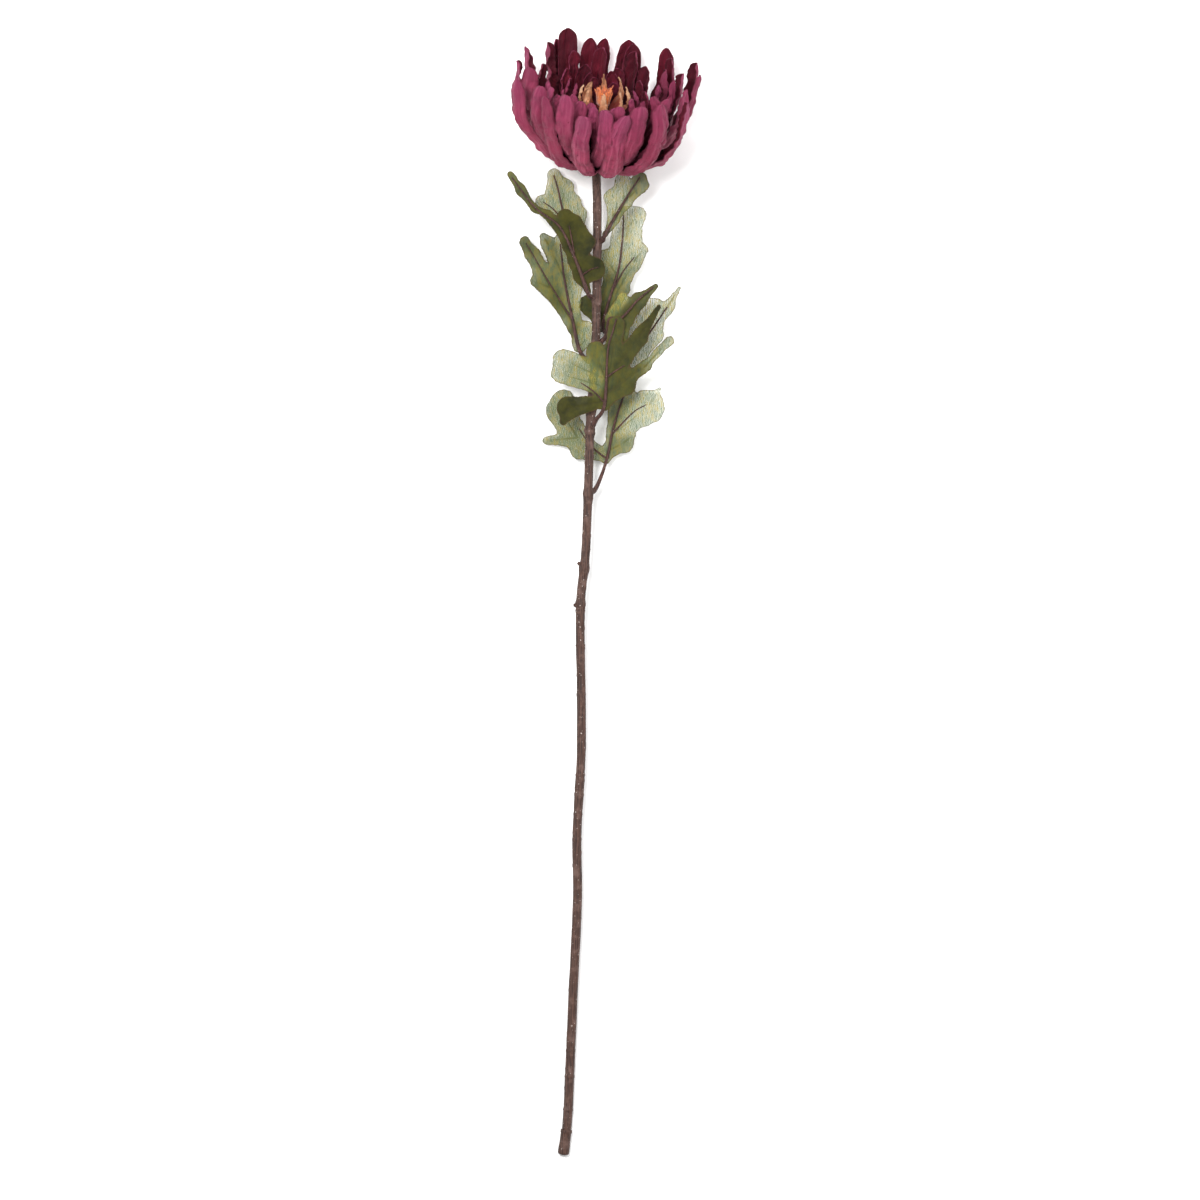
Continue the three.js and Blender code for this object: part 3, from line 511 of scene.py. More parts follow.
leafCut = {"blend": 1.5, "thickness": 0.7, "cell": 1.05,
           "ripple": 1.3, "rippleSpan": 9, "wobble": 0.8, "wobbleSpan": 6,
           "teeth": 0.45, "teethSpan": 1.9, "veinDip": 0.45, "veinHalf": 1.6}
stalkSize = {"foot": 2.0, "neck": 1.3, "tip": 0.5, "vein": 0.7, "veinTip": 0.35,
             "grain": 0.05, "gap": 0.5, "clear": 0.3}  # clear of the end of its peg
leaves = [
    {"name": "leaf_1", "from": 501, "via": [(0, 507, 20)], "foot": (7.5, 527.5, 12),
     "slope": (0, -0.06),
     "ribs": [[(5, 24), (11, 43), (16, 56)], [(0, 1), (-12, 11), (-21, 24)],
              [(4.4, 20), (20, 36), (30, 42)]],
     "lobes": [(0, 1, -22, 17, 3, 8, 0, 0.4), (-22, 17, -35, 38, 9, 11, -6, 0.35),
               (-30, 32, -33, 46, 8, 8, -6, 0.3), (-22, 17, -45, 15, 6, 3.4, -3, 0.45),
               (-8, 5, -21, 6.5, 5, 6, -2, 0.4), (0, 0, 11, 44, 2, 9, 0, 0.65),
               (8, 22, 31, 40, 6, 13, 3, 0.05), (33, 42, 40, 54, 7, 1.2, 5, 0.1),
               (3, 8, 13, 13, 5, 7.5, -2, 0.55), (13, 13, 20, 19, 5, 1.6, -2, 0.4),
               (11, 40, 14, 60, 9, 9, 2, 0.4)]},
    {"name": "leaf_2", "from": 549, "via": [(-0.5, 557, 34)], "foot": (6, 569, 38),
     "slope": (0, 0.08),
     "ribs": [[(2.3, 39), (6, 54), (9, 64)], [(0, 1), (-9, 10), (-18, 16)],
              [(1.5, 20), (7, 24), (15, 29)]],
     "lobes": [(0, 0, 9, 60, 5, 6, 1, 0.9), (-2, 20, -31, 33, 9, 8.5, -5, 0.4),
               (-4, 14, -34, 23, 7, 6.5, -5, 0.4), (-1, 2, -27, -3, 4, 8.5, 3, 1),
               (-27, -3, -31, -13, 7, 3, 2, 1), (0, 20, -7, 40, 8, 7, 0, 0.8),
               (3, 20, 26, 50, 8, 5.5, 0, 0.95), (26, 50, 41, 73, 5.5, 1.4, -2, 1),
               (2, 8, 30, 28, 7, 4, -4, 0.9), (30, 28, 49, 48, 3, 3.4, -6, 0.45),
               (3, 10, 15, 14, 8, 8, -3, 0.95)]},
    {"name": "leaf_3", "from": 565, "via": [(4, 571, 22)], "foot": (8.3, 582, 18),
     "slope": (0.08, 0), "ribs": [[(16, 19), (31.5, 41), (45, 61)]],
     "lobes": [(0, 0, 31.5, 41, 6, 7, 0, 0.3), (31.5, 41, 45, 61, 7, 3.5, 0, 0.2),
               (45, 61, 54, 75, 3.5, 1.4, 3, 0.35), (18, 25, 34, 60, 6, 8.5, -1, 0.02),
               (8, 12, 22, 45, 6, 6.5, 2, 0.05), (15, 18, 35, 40, 6, 7, -3, 0.1),
               (10, 12, 25, 26, 6, 5, -2, 0.2), (42, 58, 48, 62, 4, 2, 0, 0.3)]},
    {"name": "leaf_4", "from": 600, "via": [(-8, 603, 25)], "foot": (-13.6, 612, 22),
     "slope": (0.05, -0.05),
     "ribs": [[(-5, 23), (-11, 53), (-14, 79)], [(-4, 20), (-22, 49), (-40, 80)]],
     "lobes": [(0, 0, -5, 23, 3, 5, 0, 0.9), (-5, 23, -11, 53, 6, 6, 0, 0.55),
               (-11, 53, -23, 79, 6, 5, 2, 0.6), (-23, 79, -27, 85, 4.5, 2.6, 2, 0.6),
               (-5, 23, -3, 52, 5, 6, -2, 0), (-3, 52, -12, 82, 6, 6, 0, 0.25),
               (-4, 18, -22, 48, 4, 8, -2, 0.85), (-22, 48, -35, 71, 8, 5, -3, 0.6),
               (-35, 71, -41, 81, 5, 4.2, -1, 0.8), (-22, 46, -33, 51, 5, 4, -3, 0.7),
               (1, 2, 8, 9, 4, 7.5, 0, 0.15), (2, 6, 6, 15, 5, 5, 0, 0.1)]},
    {"name": "leaf_5", "from": 606, "via": [(7, 612, 24), (8, 621, 17)],
     "foot": (4.5, 629, 13.5), "slope": (0, 0.03),
     "ribs": [[(5, 20), (12, 43), (15, 66), (16, 84)], [(7, 26), (16, 42), (24, 52)]],
     "lobes": [(0, 4, 12, 43, 8, 9, 0, 0.75), (12, 43, 18, 66, 9, 11, 0, 0.1),
               (18, 66, 20.5, 81, 11, 10.5, -2, 0), (18, 74, 28, 85, 7, 5, -2, 0),
               (10, 24, 24, 49, 5, 5.5, 4, 0.5), (24, 49, 30, 58, 5.5, 4.2, 5, 0.2),
               (0, 8, -10, 16, 7, 8, 0, 0.9), (5, 14, 15, 27, 6, 5, 0, 0.6),
               (10, 40, 2, 51, 7, 7, -1, 0.35), (0, 2, 7, 6, 5, 6, 0, 0.8)]},
    {"name": "leaf_6", "from": 613, "via": [(6.8, 620, 35)], "foot": (9.8, 633, 37),
     "slope": (0.04, 0.03), "ribs": [[(9, 1), (21, 14), (33, 24)]],
     "lobes": [(0, 0, 9, 0, 3, 7, 0, 0.9), (9, 0, 22, 14, 8, 5.5, 1, 0.95),
               (22, 14, 35, 25, 5, 1.8, 2, 0.85), (9, -2, 9, -15, 6, 4.5, -1, 0.9),
               (2, 3, 10, 16, 4, 4, -2, 0.2), (9, -10, 7, -24, 3, 2.4, -2, 0.3)]},
    {"name": "leaf_7", "from": 648, "via": [(-4.5, 650, 37.5)], "foot": (-6.8, 653, 40.5),
     "slope": (-0.06, 0.03),
     "ribs": [[(-9, 24), (-21, 49), (-39, 63), (-57, 86)], [(-4, 13), (2, 17), (8, 19)],
              [(-10, 28), (-12, 40), (-14, 50)]],
     "lobes": [(0, 1, -9, 24, 2.6, 4, 0, 1), (-9, 22, -8, 40, 5, 10, 1, 0.95),
               (-9, 38, -17, 57, 10, 5.5, 3, 1), (-8, 40, -11, 52, 9, 7, 2, 1),
               (-7, 32, 1, 38, 8, 5, -1, 1), (-4, 13, 4, 18, 7, 9.5, -1, 1),
               (-16, 42, -30, 58, 5, 3, 1, 0.9), (-30, 58, -39, 62, 3, 2.2, 0, 0.8),
               (-39, 62, -50, 76, 2.2, 3.4, -1, 0.85), (-50, 76, -58, 89, 3.4, 2.4, -3, 0.85)]},
    {"name": "leaf_8", "from": 665, "via": [(-5, 666, 24), (-5, 671, 15)],
     "foot": (-10.5, 677.5, 9.5), "slope": (0, 0.02),
     "ribs": [[(-13, 32), (-19, 56), (-22, 66)], [(-11, 27), (-22, 40), (-30, 46)]],
     "lobes": [(0, 0, -12, 30, 4, 9, 0, 0.4), (-12, 30, -19, 55, 10, 9, 0, 0.3),
               (-19, 55, -22, 66, 8, 5, 1, 0.25), (-10, 26, -10, 44, 8, 9, 0, 0.2),
               (-8, 24, -4, 36, 7, 7, 2, 0.2), (-14, 28, -31, 46, 7, 5.2, -3, 0.25),
               (-16, 45, -13, 57, 8, 6, 0, 0.2)]},
    {"name": "leaf_9", "from": 691, "via": [(4.4, 692.5, 36.5)], "foot": (6.6, 697, 38.6),
     "slope": (-0.02, -0.06), "ribs": [[(9, 16), (18, 31), (26, 43)]],
     "lobes": [(0, 0, 26, 42, 2.2, 5, 0, 0.75), (6, 9, 5, 28, 2, 6.2, -2, 0.1),
               (14, 24, 13, 40, 5, 6, -1, 0.1), (18, 28, 27, 37, 4, 5.5, 2, 0.55),
               (5, 10, 12, 32, 2.5, 6, -1, 0.2)]},
]


def fromMiddle(lobe, x, y):  # distance to a lobe's middle line, and the share along it
    rootX, rootY, tipX, tipY = lobe[:4]
    runX, runY = tipX - rootX, tipY - rootY
    share = clamp(((x - rootX) * runX + (y - rootY) * runY) / (runX * runX + runY * runY))
    return math.hypot(x - rootX - share * runX, y - rootY - share * runY), share


def fromLobe(lobe, x, y):  # the distance is below 0 inside the lobe
    away, share = fromMiddle(lobe, x, y)
    return away - mix(lobe[4], lobe[5], share), share


def outsideLeaf(leaf, x, y):
    pull = sum(math.exp(-min(40, fromLobe(lobe, x, y)[0]) / leafCut["blend"])
               for lobe in leaf["lobes"])
    wide, fine = leafCut["wobbleSpan"], leafCut["teethSpan"]
    wobble = noise.noise(Vector((x / wide, y / wide, leaf["from"])))
    teeth = noise.noise(Vector((x / fine, y / fine, leaf["from"] + 4)))
    return (-leafCut["blend"] * math.log(pull) + leafCut["wobble"] * wobble
            + leafCut["teeth"] * teeth)


def fromVein(leaf, x, y):  # distance to the nearest vein: each lobe has one down its middle
    near = 9.0
    for lobe in leaf["lobes"]:
        away, share = fromMiddle(lobe, x, y)
        near = min(near, away + 1.2 * share ** 3)  # veins fade towards the tips
    return near


def bladeLook(leaf, x, y):  # height of the cloth and how dense it is
    lift = dense = weight = closeWeight = 0.0
    for lobe in leaf["lobes"]:
        away, share = fromLobe(lobe, x, y)
        pull, closePull = math.exp(-away / 4), math.exp(-away / 2.2)
        lift += pull * lobe[6] * share * share
        weight += pull
        dense += closePull * lobe[7]
        closeWeight += closePull
    flat = leaf["foot"][2] + leaf["slope"][0] * x + leaf["slope"][1] * y
    height = flat + lift / weight
    return pressed(height, leafCut["thickness"] / 2 + 0.05, 1.5), dense / closeWeight


def makeBladeMesh(leaf):
    cell = leafCut["cell"]
    low = [min(min(lobe[k], lobe[k + 2]) for lobe in leaf["lobes"]) - 15 for k in (0, 1)]
    high = [max(max(lobe[k], lobe[k + 2]) for lobe in leaf["lobes"]) + 15 for k in (0, 1)]
    rise = cell * 0.87
    known, flat, faces, distance = {}, [], [], {}

    def corner(i, j):
        if (i, j) not in distance:
            x, y = (i + j / 2) * cell, j * rise
            distance[(i, j)] = (x, y, outsideLeaf(leaf, x, y))
        return distance[(i, j)]

    def add(key, x, y):
        if key not in known:
            known[key] = len(flat)
            flat.append((x, y))
        return known[key]

    def crossing(p, q):
        p, q = min(p, q), max(p, q)
        (ax, ay, a), (bx, by, b) = corner(*p), corner(*q)
        share = clamp(a / (a - b), 0.12, 0.88)
        return add((p, q), mix(ax, bx, share), mix(ay, by, share))

    def whole(p):
        return add(p, *corner(*p)[:2])

    def triangle(keys):
        kept = sum(corner(*k)[2] < 0 for k in keys)
        if kept == 0:
            return
        while corner(*keys[0])[2] >= 0 or (kept == 2 and corner(*keys[1])[2] >= 0):
            keys = keys[1:] + keys[:1]
        a, b, c = keys
        if kept == 3:
            faces.append((whole(a), whole(b), whole(c)))
        elif kept == 1:
            faces.append((whole(a), crossing(a, b), crossing(a, c)))
        else:
            faces.append((whole(a), whole(b), crossing(b, c)))
            faces.append((whole(a), crossing(b, c), crossing(a, c)))

    for j in range(int(low[1] / rise) - 1, int(high[1] / rise) + 2):
        for i in range(int(low[0] / cell - j / 2) - 1, int(high[0] / cell - j / 2) + 2):
            triangle([(i, j), (i + 1, j), (i, j + 1)])
            triangle([(i + 1, j), (i + 1, j + 1), (i, j + 1)])
    points, cover, inside, veins = [], [], [], []
    footX, footY = leaf["foot"][:2]
    for x, y in flat:
        height, dense = bladeLook(leaf, x, y)
        depth = -outsideLeaf(leaf, x, y)
        vein = fromVein(leaf, x, y)
        span = leafCut["rippleSpan"]
        wave = noise.noise(Vector((x / span, y / span, leaf["from"] + 9)))
        dip = leafCut["veinDip"] * math.exp(-(vein / leafCut["veinHalf"]) ** 2)
        height += (leafCut["ripple"] * wave - dip) * ease(height, 1.0, 5.0)
        points.append(toRow((footX + x, footY + y, height)))
        cover.append(dense)
        inside.append(max(0.0, depth))
        veins.append(vein)
    return points, faces, {"cover": cover, "inside": inside, "vein": veins}


def ribPoint(leaf, spot, radius):
    off = leafCut["thickness"] / 2 + stalkSize["gap"] + radius
    height = bladeLook(leaf, *spot)[0] + off
    return Vector((leaf["foot"][0] + spot[0], leaf["foot"][1] + spot[1], height))


def stalkRoute(leaf):
    rib = [ribPoint(leaf, spot, stalkSize["neck"]) for spot in [(0, 0), *leaf["ribs"][0]]]
    start = stemRoute.point(stemShare(leaf["from"]))
    return Route([start, *leaf["via"], *rib])


def veinRadius(share, angle):
    return mix(stalkSize["vein"], stalkSize["veinTip"], share)


def makeLeaves():
    for leaf in leaves:
        points, faces, marks = makeBladeMesh(leaf)
        addPiece(leaf["name"] + "_cloth", points, faces, [leafFinish],
                 [leaf["name"] + "_blade"], marks=marks)
        route = stalkRoute(leaf)
        start = (peg["length"] + stalkSize["clear"]) / route.length

        def taper(share, angle):
            grain = stalkSize["grain"] * math.sin(5 * angle + share * 30)
            along = max(0, (share - start) / (1 - start))
            return mix(stalkSize["foot"], stalkSize["tip"], math.sqrt(along)) + grain

        stalkPoints, stalkFaces = [], []
        closeRings(sweepRings(route, taper, 12, 70, start, 1), stalkPoints, stalkFaces)
        for rib in leaf["ribs"][1:]:
            vein = Route([ribPoint(leaf, spot, stalkSize["vein"]) for spot in rib])
            closeRings(sweepRings(vein, veinRadius, 8, 24), stalkPoints, stalkFaces)
        addPiece(leaf["name"] + "_rib", stalkPoints, stalkFaces, [stalkFinish],
                 [leaf["name"] + "_stalk"])


def makeStem():
    length = stemRoute.length
    swells = [stemShare(leaf["from"]) for leaf in leaves] + [stemShare(s["at"]) for s in stubs]
    rings = [stemShare(at) for at in stem["mouldRings"]]
    ridgeLow, ridgeHigh = [stemShare(at) for at in stem["ridges"]]

    def radiusAt(share, angle):
        near = max(math.exp(-((share - s) * length / stem["swellSpan"]) ** 2) for s in swells)
        ring = max(math.exp(-((share - s) * length / stem["ringSpan"]) ** 2) for s in rings)
        groove = max(math.exp(-((share - s) * length - 2) ** 2 / 1.5) for s in rings)
        ridge = math.sin(share * length * 1.9) if ridgeLow < share < ridgeHigh else 0
        lump = noise.noise(Vector((math.cos(angle), math.sin(angle), share * length / 22)))
        knob = noise.noise(Vector((math.cos(angle) * 2, math.sin(angle) * 2, share * length / 5)))
        flute = math.sin(7 * angle + 2 * math.sin(share * 9))
        bare = mix(stem["radiusFoot"], stem["radiusNeck"], share) + stem["plump"]
        return (bare + stem["swell"] * near * (0.7 + 0.6 * knob)
                + stem["ring"] * ring - stem["groove"] * groove + stem["ridge"] * ridge
                + stem["lump"] * lump + stem["knob"] * ease(knob, 0.35, 0.6)
                + stem["flute"] * flute)

    def pegRadius(share, angle):
        return peg["radius"] + peg["grain"] * math.sin(share * 900)

    def stubRadius(share, angle):
        return mix(peg["radius"], stubTip, share ** 2)

    points, faces = [], []
    count = stem["rings"]
    closeRings(sweepRings(stemRoute, radiusAt, stem["sides"], count), points, faces)
    for leaf in leaves:
        route = stalkRoute(leaf)
        closeRings(sweepRings(route, pegRadius, 12, 10, 0, peg["length"] / route.length),
                   points, faces)
    for stub in stubs:
        foot = stemRoute.point(stemShare(stub["at"]))
        tip = foot + Vector(stub["points"]).normalized() * stub["length"]
        route = Route([foot, (foot + tip) / 2, tip])
        closeRings(sweepRings(route, stubRadius, 12, 10), points, faces)
    addPiece("long_stem", points, faces, [stemFinish], ["main_stem"])


cap = {"radius": 4.7, "length": 19, "end": 3.3,  # end is how far it passes the cut
       "waist": 0.35, "collar": 0.35, "step": 0.3, "wobble": 0.08}


def makeCap():
    along = stemRoute.tangent(0.004)
    start = stemRoute.point(0) - along * cap["end"]
    route = Route([start, start + along * cap["length"] * 0.5, start + along * cap["length"]])

    def radiusAt(share, angle):
        nose = math.sqrt(1 - (1 - min(1, share / 0.12 + 0.35)) ** 2)
        collar = cap["collar"] * ease(share, 0.86, 0.9) - cap["step"] * ease(share, 0.3, 0.5)
        body = cap["radius"] - cap["waist"] + collar
        return body * nose + cap["wobble"] * math.sin(3 * angle)

    points, faces = [], []
    closeRings(sweepRings(route, radiusAt, 28, 40), points, faces)
    addPiece("foot_cap", points, faces, [stemFinish], ["end_cap"])


petal = {
    "thickness": 0.4, "rootRadius": 7.2, "rows": 60, "columns": 12,
    "crowd": 1.2,  # above 1, rows crowd towards the tip, where the outline turns
    "rootShare": 0.42,  # width at the root as a share of the full width
    "narrow": 0.23,  # how much of its width a petal loses towards its tip
    "blunt": 0.89,  # share of the length where the tip starts to round off
    "twist": 0.5,  # radians, by chance
    "faceUp": 0.25,  # radians that inner petals at the sides turn their backs up
    "open": 0.5,  # radians that outer petals at the sides open up
    "bend": 0.2,  # radians at each soft kink
    "curl": 3.6, "ruffle": 1.4, "crimp": 0.24, "crumple": 3.5,
    "midline": 0.35,  # depth of the groove down the middle
    "reach": 0.08,  # how much petals differ in length
    "frontShort": 0.05, "backTall": 0.07, "sway": 0.06, "broad": 0.09, "bluntSpread": 0.04,
    "kinks": (0.4, 0.68), "kinkSpread": (0.1, 0.08),  # where each petal kinks, and by chance
    "tuckLeft": 0.17, "tuckRight": 0.05,  # how much straighter the sides of the bowl stand
    "parting": {"at": 58, "wide": 0.42, "push": 0.06},  # the gap at the back, degrees then radians
}
whorls = [
    {"name": "petal_whorl_1", "count": 14, "first": 0.1, "level": 0, "width": 17.5, "cup": 4.8,
     "profile": [(50, -12), (81, 28), (69, 75)]},
    {"name": "petal_whorl_2", "count": 14, "first": 0.55, "level": 6, "width": 17, "cup": 4.8,
     "profile": [(47, -3), (72, 33), (60, 75)]},
    {"name": "petal_whorl_3", "count": 12, "first": 0.12, "level": 12, "width": 15.5, "cup": 4.2,
     "profile": [(41, 6), (62, 36), (50, 68)]},
    {"name": "petal_whorl_4", "count": 11, "first": 0.4, "level": 18, "width": 14, "cup": 3.8,
     "profile": [(35, 13), (52, 38), (40, 62)]},
    {"name": "petal_whorl_5", "count": 10, "first": 0.2, "level": 24, "width": 12, "cup": 3,
     "profile": [(28, 20), (42, 40), (31, 58)]},
    {"name": "petal_whorl_6", "count": 8, "first": 0.5, "level": 30, "width": 10.5, "cup": 2.4,
     "profile": [(22, 27), (32, 42), (22, 55)]},
    {"name": "centre_whorl", "count": 8, "first": 0.1, "level": 36, "width": 8.6, "cup": 1.8,
     "profile": [(17, 36), (24, 48), (14, 60)], "narrow": 0.5, "blunt": 0.55, "twist": 0.9},
]


def onTable(point):
    placed = bloomFrame @ point
    placed.z = pressed(placed.z, 0.45, bloom["floorRound"])
    return placed


def rowShare(row):
    return 1 - (1 - row / petal["rows"]) ** petal["crowd"]


def petalWidth(share, narrow, blunt):
    belly = mix(petal["rootShare"], 1, ease(share, 0, 0.24))
    taper = 1 - narrow * ease(share, 0.3, 0.95)
    tip = math.sqrt(max(0, 1 - max(0, (share - blunt) / (1.0015 - blunt)) ** 2.3))
    return belly * taper * max(tip, 0.08)


def softRamp(value, softness):  # 0 before a kink, then rising
    return (value + math.sqrt(value * value + softness * softness)) / 2


def petalHabit(whorl, index):  # what makes one petal differ from the next
    seed = index + whorl["level"] * 7
    angle = (index + whorl["first"]) * 2 * math.pi / whorl["count"]
    gap = petal["parting"]
    away = (angle - math.radians(gap["at"]) + math.pi) % (2 * math.pi) - math.pi
    push = math.copysign(gap["push"] * math.exp(-(away / gap["wide"]) ** 2), away)
    front = max(0, -math.sin(angle))
    first = petal["kinks"][0] + petal["kinkSpread"][0] * vary(seed + 0.11)
    second = petal["kinks"][1] + petal["kinkSpread"][1] * vary(seed + 0.23)
    bend = petal["bend"] * vary(seed + 0.31)
    side = 0.6 * petal["bend"] * vary(seed + 0.43)
    turn = -petal["faceUp"] * math.cos(angle)
    if whorl["level"] < 8:
        turn = petal["open"] * abs(math.cos(angle)) ** 2
    return {
        "seed": seed, "angle": angle, "push": push,
        "length": 1 - petal["reach"] * (0.5 + 0.5 * vary(seed)) - petal["frontShort"] * front,
        "tuck": (petal["tuckLeft"] * max(0, -math.cos(angle)) + petal["tuckRight"]
                 * max(0, math.cos(angle))) * clamp(1 - whorl["level"] / 14, 0.25, 1),
        "taller": 1 + petal["backTall"] * max(0, math.sin(angle)) * (1 + vary(seed + 0.61)) / 2,
        "sway": petal["sway"] * vary(seed + 0.5),
        "twist": (whorl.get("twist", petal["twist"]) * vary(seed + 0.2)
                  + turn * (0.6 + 0.4 * vary(seed + 0.57))),
        "curl": petal["curl"] * vary(seed + 0.7),
        "narrow": whorl.get("narrow", petal["narrow"]) * (1 + 0.5 * vary(seed + 0.9)),
        "blunt": whorl.get("blunt", petal["blunt"]) + petal["bluntSpread"] * vary(seed + 0.83),
        "broad": 1 + petal["broad"] * vary(seed + 0.95),
        "kinks": [(first, bend, side), (second, -1.7 * bend, -1.5 * side)],
    }


def petalGrid(whorl, index):
    outPoint, belly, tip = whorl["profile"]
    habit = petalHabit(whorl, index)
    seed = habit["seed"]
    tall, slim = habit["taller"], 1 - habit["tuck"]
    route = PetalRoute((petal["rootRadius"], whorl["level"]), (outPoint[0] * slim, outPoint[1]),
                       (belly[0] * slim, belly[1] * tall), (tip[0] * tall, tip[1] * tall * tall))
    size = whorl["width"] / 17.5
    rows = []
    for r in range(petal["rows"] + 1):
        share = rowShare(r)
        at = share * habit["length"]
        middle, along = route.point(at), route.tangent(clamp(at, 0.01, 0.99))
        inward = Vector((-along.z, 0, along.x))
        turn = habit["twist"] * ease(share, 0.15, 0.95)
        loose = ease(share, 0.1, 0.6)
        angle = habit["angle"] + habit["sway"] * share * share + habit["push"] * loose
        full = petalWidth(share, habit["narrow"], habit["blunt"])
        free = ease(share, 0.1, 0.4)
        crumple = petal["crumple"] * size * free * (1 - 0.5 * ease(share, 0.8, 1.0))
        lean = drift = 0.0
        for kinkAt, bend, side in habit["kinks"]:
            past = route.length * softRamp(share - kinkAt, 0.025)
            lean += past * bend
            drift += past * side
        lean += 0.9 * size * noise.noise(Vector((share * 7, seed * 1.7, 0))) * free
        lean += habit["curl"] * size * ease(share, 0.74, 1.0) ** 2 * (1.6 - size)
        row = []
        for c in range(petal["columns"] + 1):
            edge = 2 * c / petal["columns"] - 1
            hem = 1 + 0.07 * noise.noise(Vector((share * 13, seed * 3.1, 4 * edge)))
            across = whorl["width"] * habit["broad"] * full * hem * edge / 2
            rise = whorl["cup"] * full * abs(edge) ** 1.8
            wave = noise.noise(Vector((share * 11, seed * 5.3, 3 * math.copysign(1, edge))))
            crimp = math.sin(share * 110 + 3 * wave)
            frill = petal["ruffle"] * wave + petal["crimp"] * crimp
            rise += 1.6 * size * frill * abs(edge) ** 3 * free
            fold = abs(noise.noise(Vector((share * 9, seed * 2.9, 1.3 * edge + share * 3))))
            fold += 0.5 * abs(noise.noise(Vector((share * 19, seed * 4.1, 2.2 * edge))))
            rise -= crumple * (fold - 0.3)
            rise -= petal["midline"] * size * math.exp(-(edge / 0.14) ** 2) * free
            x = across * math.cos(turn) - rise * math.sin(turn) + drift
            up = across * math.sin(turn) + rise * math.cos(turn) + lean
            spot = middle + inward * up
            spot.y += x
            row.append(onTable(Matrix.Rotation(angle, 3, "Z") @ spot))
        rows.append(row)
    return rows


def addPetal(rows, shade, shadeStrength, build):
    points, faces, uvs, sides, shades, edgeShades, shadeDepths = build
    high, wide = len(rows) - 1, len(rows[0]) - 1
    first = len(points)
    for sign in (-1, 1):
        for r, row in enumerate(rows):
            for c, point in enumerate(row):
                along = rows[min(r + 1, high)][c] - rows[max(r - 1, 0)][c]
                over = row[min(c + 1, wide)] - row[max(c - 1, 0)]
                normal = along.cross(over).normalized()
                points.append(toRow(point + normal * sign * petal["thickness"] / 2))
                uvs.append((c / wide + shade * 3, rowShare(r)))
                shades.append(shade)
                # How strongly the edge is darkened by painted shade.
                edgeShades.append(abs(2 * c / wide - 1) ** 3)
                # Painted shade strength: full at the root of inner petals, gone past mid-length.
                shadeDepths.append(shadeStrength * (1 - ease(rowShare(r), 0.25, 0.75)))
    span = wide + 1
    skin = (high + 1) * span

    def spot(side, r, c):
        return first + side * skin + r * span + c

    for r in range(high):
        for c in range(wide):
            quad = [spot(0, r, c), spot(0, r, c + 1), spot(0, r + 1, c + 1), spot(0, r + 1, c)]
            faces.append(tuple(quad))
            sides.append(0)
            faces.append(tuple(q + skin for q in reversed(quad)))
            sides.append(1)
    rim = ([(0, c) for c in range(wide)] + [(r, wide) for r in range(high)]
           + [(high, c) for c in range(wide, 0, -1)] + [(r, 0) for r in range(high, 0, -1)])
    for k, (r, c) in enumerate(rim):
        nextR, nextC = rim[(k + 1) % len(rim)]
        faces.append((spot(0, nextR, nextC), spot(0, r, c), spot(1, r, c), spot(1, nextR, nextC)))
        sides.append(0)


def makeBloom():
    for whorl in whorls:
        build = ([], [], [], [], [], [], [])
        for index in range(whorl["count"]):
            shade = 0.5 + 0.5 * vary(index * 3.1 + whorl["level"])
            # Inner whorls get more painted shade.
            shadeStrength = clamp(whorl["level"] / 12)
            addPetal(petalGrid(whorl, index), shade, shadeStrength, build)
        points, faces, uvs, sides, shades, edgeShades, shadeDepths = build
        heart = whorl["name"] == "centre_whorl"
        skins = [petalHeart, petalHeart] if heart else [petalOuter, petalInner]
        addPiece(whorl["name"] + "_cloth", points, faces, skins,
                 [whorl["name"]], uvs=uvs,
                 faceFinish=sides, marks={"shade": shades, "hem": edgeShades, "paintedShade": shadeDepths})


tuft = {"strands": 110, "foot": 44.3, "height": 13, "radius": 8,
        "splay": 4.5, "strand": 0.62, "strandTip": 0.16}
goldenAngle = 2.39996  # turning by it spaces the strands evenly


def makeTuft():
    points, faces, shades = [], [], []
    for i in range(tuft["strands"]):
        spread = math.sqrt((i + 0.5) / tuft["strands"])
        angle = i * goldenAngle
        lean = Vector((math.cos(angle), math.sin(angle), 0))
        tall = tuft["height"] * (0.55 + 0.4 * spread) * (1 + 0.2 * vary(i))
        foot = lean * tuft["radius"] * 0.5 * spread + Vector((0, 0, tuft["foot"]))
        middle = foot + lean * 1.4 * spread + Vector((0, 0, tall * 0.6))
        splay = tuft["splay"] * (0.6 + 0.4 * vary(i + 0.4))
        end = foot + lean * splay * spread + Vector((0, 0, tall))
        route = Route([bloomFrame @ p for p in (foot, middle, end)], 6)
        before = len(points)

        def strandRadius(share, around):
            flat = 1 + 0.45 * math.cos(2 * around)
            return mix(tuft["strand"], tuft["strandTip"], share ** 1.5) * flat

        closeRings(sweepRings(route, strandRadius, 6, 7), points, faces)
        shades += [clamp(spread * 0.9 + 0.3 * vary(i + 0.8))] * (len(points) - before)
    addPiece("tuft_fringe", points, faces, [tuftFinish], ["centre_tuft"],
             marks={"shade": shades})


calyx = {"sides": 48, "scallop": 0.9,
         "profile": [(4.1, -9), (4.6, -8.2), (7.1, -6.5), (10.5, -4.6), (12, -3.6), (11, -3.2),
                     (3.4, -3.4)]}


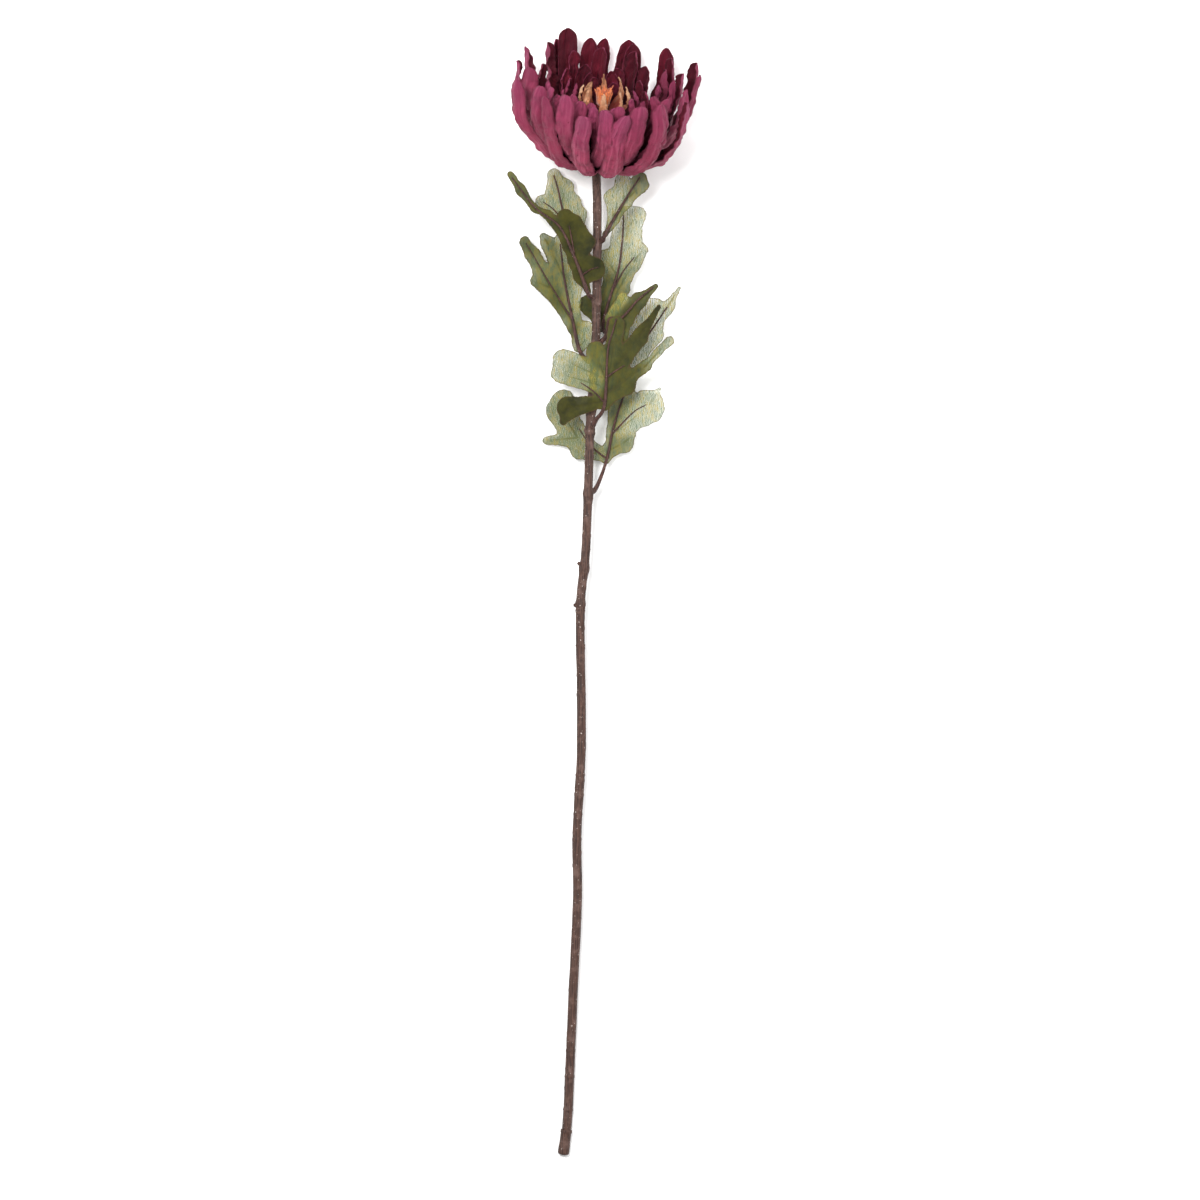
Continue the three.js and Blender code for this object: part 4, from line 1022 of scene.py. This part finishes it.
def makeCalyx():
    rings = []
    for radius, height in calyx["profile"]:
        ring = []
        for s in range(calyx["sides"]):
            angle = 2 * math.pi * s / calyx["sides"]
            wide = radius + calyx["scallop"] * math.cos(8 * angle) * ease(radius, 6, 12)
            ring.append(bloomFrame @ Vector((wide * math.cos(angle), wide * math.sin(angle),
                                             height)))
        rings.append(ring)
    points, faces = [], []
    closeRings(rings, points, faces)
    addPiece("flower_cup", points, faces, [calyxFinish], ["calyx"])


makeStem()
makeCap()
print("stem made")
makeLeaves()
print("leaves made")
makeBloom()
makeTuft()
makeCalyx()
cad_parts["flower_post"].data.materials.clear()
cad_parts["flower_post"].data.materials.append(calyxFinish)
print("bloom made")

# Each lamp has its place and width in metres, then its power.
studio = {
    "floor": (252, 252, 251), "world": 0.5,
    "lamps": [("softKey", (-0.48, 0.52, 2.3), 0.7, 60),
              ("softFill", (0.8, 0.3, 2.2), 1.0, 24),
              ("softFront", (0.15, 2.1, 1.1), 1.0, 20)],
}


def addFloor():
    mesh = bpy.data.meshes.new("floor")
    mesh.from_pydata([(-4, -4, 0), (4, -4, 0), (4, 4, 0), (-4, 4, 0)], [], [(0, 1, 2, 3)])
    floor = bpy.data.objects.new("floor", mesh)
    bpy.context.collection.objects.link(floor)
    material, n, shader = newFinish("floorPaper", {"Roughness": 0.9})
    grain = n.noise(n.add("ShaderNodeTexCoord").outputs["Object"], 40.0, 2.0)
    tone = n.blend(grain, colour(*studio["floor"]), colour(255, 255, 255))
    n.tree.links.new(tone, shader.inputs["Base Color"])
    mesh.materials.append(material)


def addLamp(name, place, size, power):
    lamp = bpy.data.lights.new(name, "AREA")
    lamp.shape = "DISK"
    lamp.size = size
    lamp.energy = power
    holder = bpy.data.objects.new(name, lamp)
    holder.location = place
    holder.rotation_euler = (-Vector(place)).to_track_quat("-Z", "Y").to_euler()
    bpy.context.collection.objects.link(holder)


addFloor()
for lampName, place, size, power in studio["lamps"]:
    addLamp(lampName, place, size, power)
world = bpy.data.worlds.new("studioAir")
world.use_nodes = True
world.node_tree.nodes["Background"].inputs[0].default_value = (1, 1, 1, 1)
world.node_tree.nodes["Background"].inputs[1].default_value = studio["world"]
bpy.context.scene.world = world
bpy.context.scene.view_settings.view_transform = "Standard"
print("studio lit")
